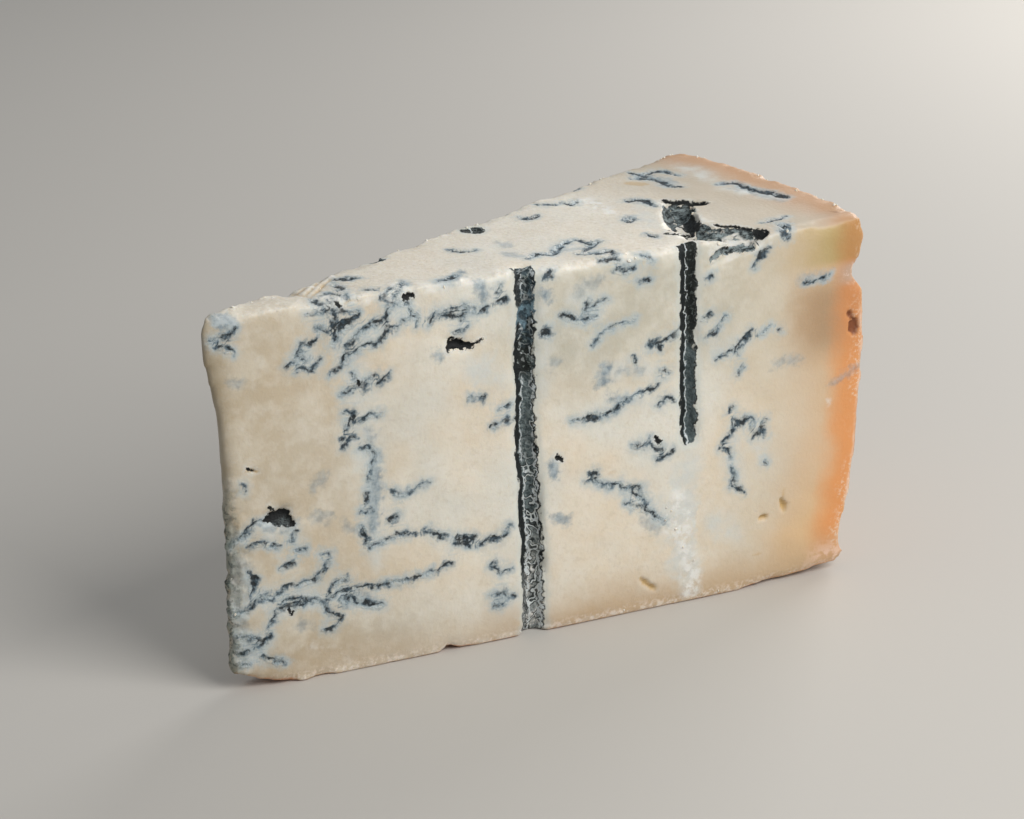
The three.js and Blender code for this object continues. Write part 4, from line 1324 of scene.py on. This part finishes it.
def cheese_material():
    """Moist ivory paste with blue mould, dark linings, white chalk and a tan rind."""
    material, n, shader = new_material("blue cheese")
    p = Paint(n)
    offset, radius = from_axis(n, p.place)
    along, _, height = n.xyz(n.vector("SCALE", offset, 1 / MM))
    radius = n.math("DIVIDE", radius, MM)
    colour = paste_colour(p, along, height)
    colour = rind_over(p, colour, along, height, radius)
    colour, dark = mould_over(p, colour)
    colour = tip_over(p, colour, along, height)
    colour = pits_over(p, colour, radius)
    colour, chalk = chalk_over(p, colour, radius)
    colour, in_needle = needles_over(p, colour, height)
    colour, in_hollow = hollows_over(p, colour)
    n.feed(shader.inputs["Base Color"], colour)

    skin = p.told("skin")
    dry = n.most(dark, in_needle, in_hollow, n.product(skin, 0.8), chalk)
    grain = n.noise(p.place, 0.8 * MM, 4, 0.6)
    n.feed(shader.inputs["Roughness"], n.total(n.ramp(dry, 0, 1, 0.42, 0.6), n.product(grain, 0.14)))
    marks = n.least(p.told("veins"), p.told("needles"), p.told("hollows"))
    rough = n.most(n.fade(marks, 0, 0.6), skin)
    fine_grain = n.product(n.noise(p.place, 0.4 * MM, 2, 0.6), rough, 0.3)
    bumps = n.total(n.product(grain, 0.12), fine_grain)
    bump = n.add("ShaderNodeBump", {"Height": bumps, "Distance": 1.0 * MM, "Strength": 0.7})
    n.feed(shader.inputs["Normal"], bump.outputs[0])
    let_light_in(shader, 0.12)
    shader.inputs["Specular IOR Level"].default_value = 0.4
    return material


def crumb_material():
    """Dry pale crumbs, some of them duller."""
    material, n, shader = new_material("cheese crumbs")
    p = Paint(n)
    dull = n.ramp(n.noise(p.place, 3 * MM, 3), 0.4, 0.7)
    n.feed(shader.inputs["Base Color"], n.blend(dull, rgb(230, 225, 213), rgb(212, 203, 186)))
    grain = n.noise(p.place, 0.4 * MM, 3, 0.6)
    bump = n.add("ShaderNodeBump", {"Height": grain, "Distance": 0.15 * MM})
    n.feed(shader.inputs["Normal"], bump.outputs[0])
    shader.inputs["Roughness"].default_value = 0.85
    let_light_in(shader, 0.2)
    return material


def wedge():
    """The whole wedge, from the bare skin to the finished surface."""
    piece = bare_skin()
    placing = Placing(piece)
    wandering = {
        "veins": photo_runs(placing, DARK_VEINS) + back_runs(placing),
        "smears": (photo_runs(placing, BLUE_SMEARS, SMEAR_STRENGTH)
                   + back_mist(placing, 3, 2.4, SMEAR_STRENGTH["faint"])),
        "zones": photo_runs(placing, PALE_ZONES) + back_mist(placing, 8, 7, 0.0),
        "pits": photo_runs(placing, OCHRE_PITS, PIT_DEPTH),
        "chalk": photo_runs(placing, CHALK),
    }
    even = {
        "edges": edge_runs(),
        **{f"hollows {cut}": hollow_runs(placing, cut) for cut in SEEN_HOLLOWS},
        "hollows back": burrow_runs([lobe for burrow in BACK_HOLLOWS for lobe in lobed(burrow)], "back"),
        **{f"needles {cut}": burrow_runs(burrows, cut) for cut, burrows in NEEDLES.items()},
    }
    guides = {name: guide(name, runs) for name, runs in wandering.items()}
    guides.update({name: guide(name, runs, even=True) for name, runs in even.items()})
    refine(piece, [wire for name, wire in guides.items() if name not in SOFT_EDGED])
    apply_tree(piece, relief_tree(), {**guides, **RELIEF, "Material": cheese_material()})
    for wire in guides.values():
        bpy.data.objects.remove(wire)
    return piece


def crumbs(body):
    """Loose crumbs on the broken edges of the wedge."""
    piece = new_object("crumbs", body.data.copy())
    apply_tree(piece, crumb_tree(), {**CRUMBS, "Material": crumb_material()})
    return piece


def floor():
    """A plain pale floor."""
    half = FLOOR_WIDTH / 2
    corners = [(-half, -half, 0), (half, -half, 0), (half, half, 0), (-half, half, 0)]
    mesh = bpy.data.meshes.new("floor")
    mesh.from_pydata(corners, [], [(0, 1, 2, 3)])
    material, _, shader = new_material("pale floor")
    shader.inputs["Base Color"].default_value = rgb(190, 186, 180)
    shader.inputs["Roughness"].default_value = 0.75
    mesh.materials.append(material)
    return new_object("floor", mesh)


def lamp(name, place, size, power, colour):
    """A square soft light that faces the wedge."""
    data = bpy.data.lights.new(name, "AREA")
    data.size = size
    data.energy = power
    data.color = colour
    made = new_object(name, data)
    made.location = place
    aim = Vector((0, 0, WEDGE_HEIGHT / 2)) - Vector(place)
    made.rotation_euler = aim.to_track_quat("-Z", "Y").to_euler()


def studio():
    """A soft light in front on the right, a smaller one behind on the right, and a pale surround."""
    lamp("key", place=(0.26, -0.52, 0.56), size=0.5, power=5.4, colour=(1.0, 0.985, 0.955))
    lamp("rim", place=(0.55, 0.35, 0.3), size=0.35, power=2.2, colour=(1.0, 0.98, 0.95))
    world = bpy.data.worlds.new("surround")
    bpy.context.scene.world = world
    world.use_nodes = True
    background = world.node_tree.nodes["Background"]
    background.inputs["Color"].default_value = (0.9, 0.95, 1.0, 1.0)
    background.inputs["Strength"].default_value = 0.3
    bpy.context.scene.view_settings.view_transform = "Standard"


def camera():
    """The camera that sees the wedge as the photograph does."""
    data = bpy.data.cameras.new("camera")
    data.sensor_width = SENSOR_WIDTH
    data.lens = LENS
    made = new_object("camera", data)
    made.location = CAMERA_PLACE
    made.rotation_euler = CAMERA_TURN
    bpy.context.scene.camera = made


camera()
studio()
floor()
body = wedge()
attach(body, "root")
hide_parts(NODE)
scraps = crumbs(body)
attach(scraps, "root")
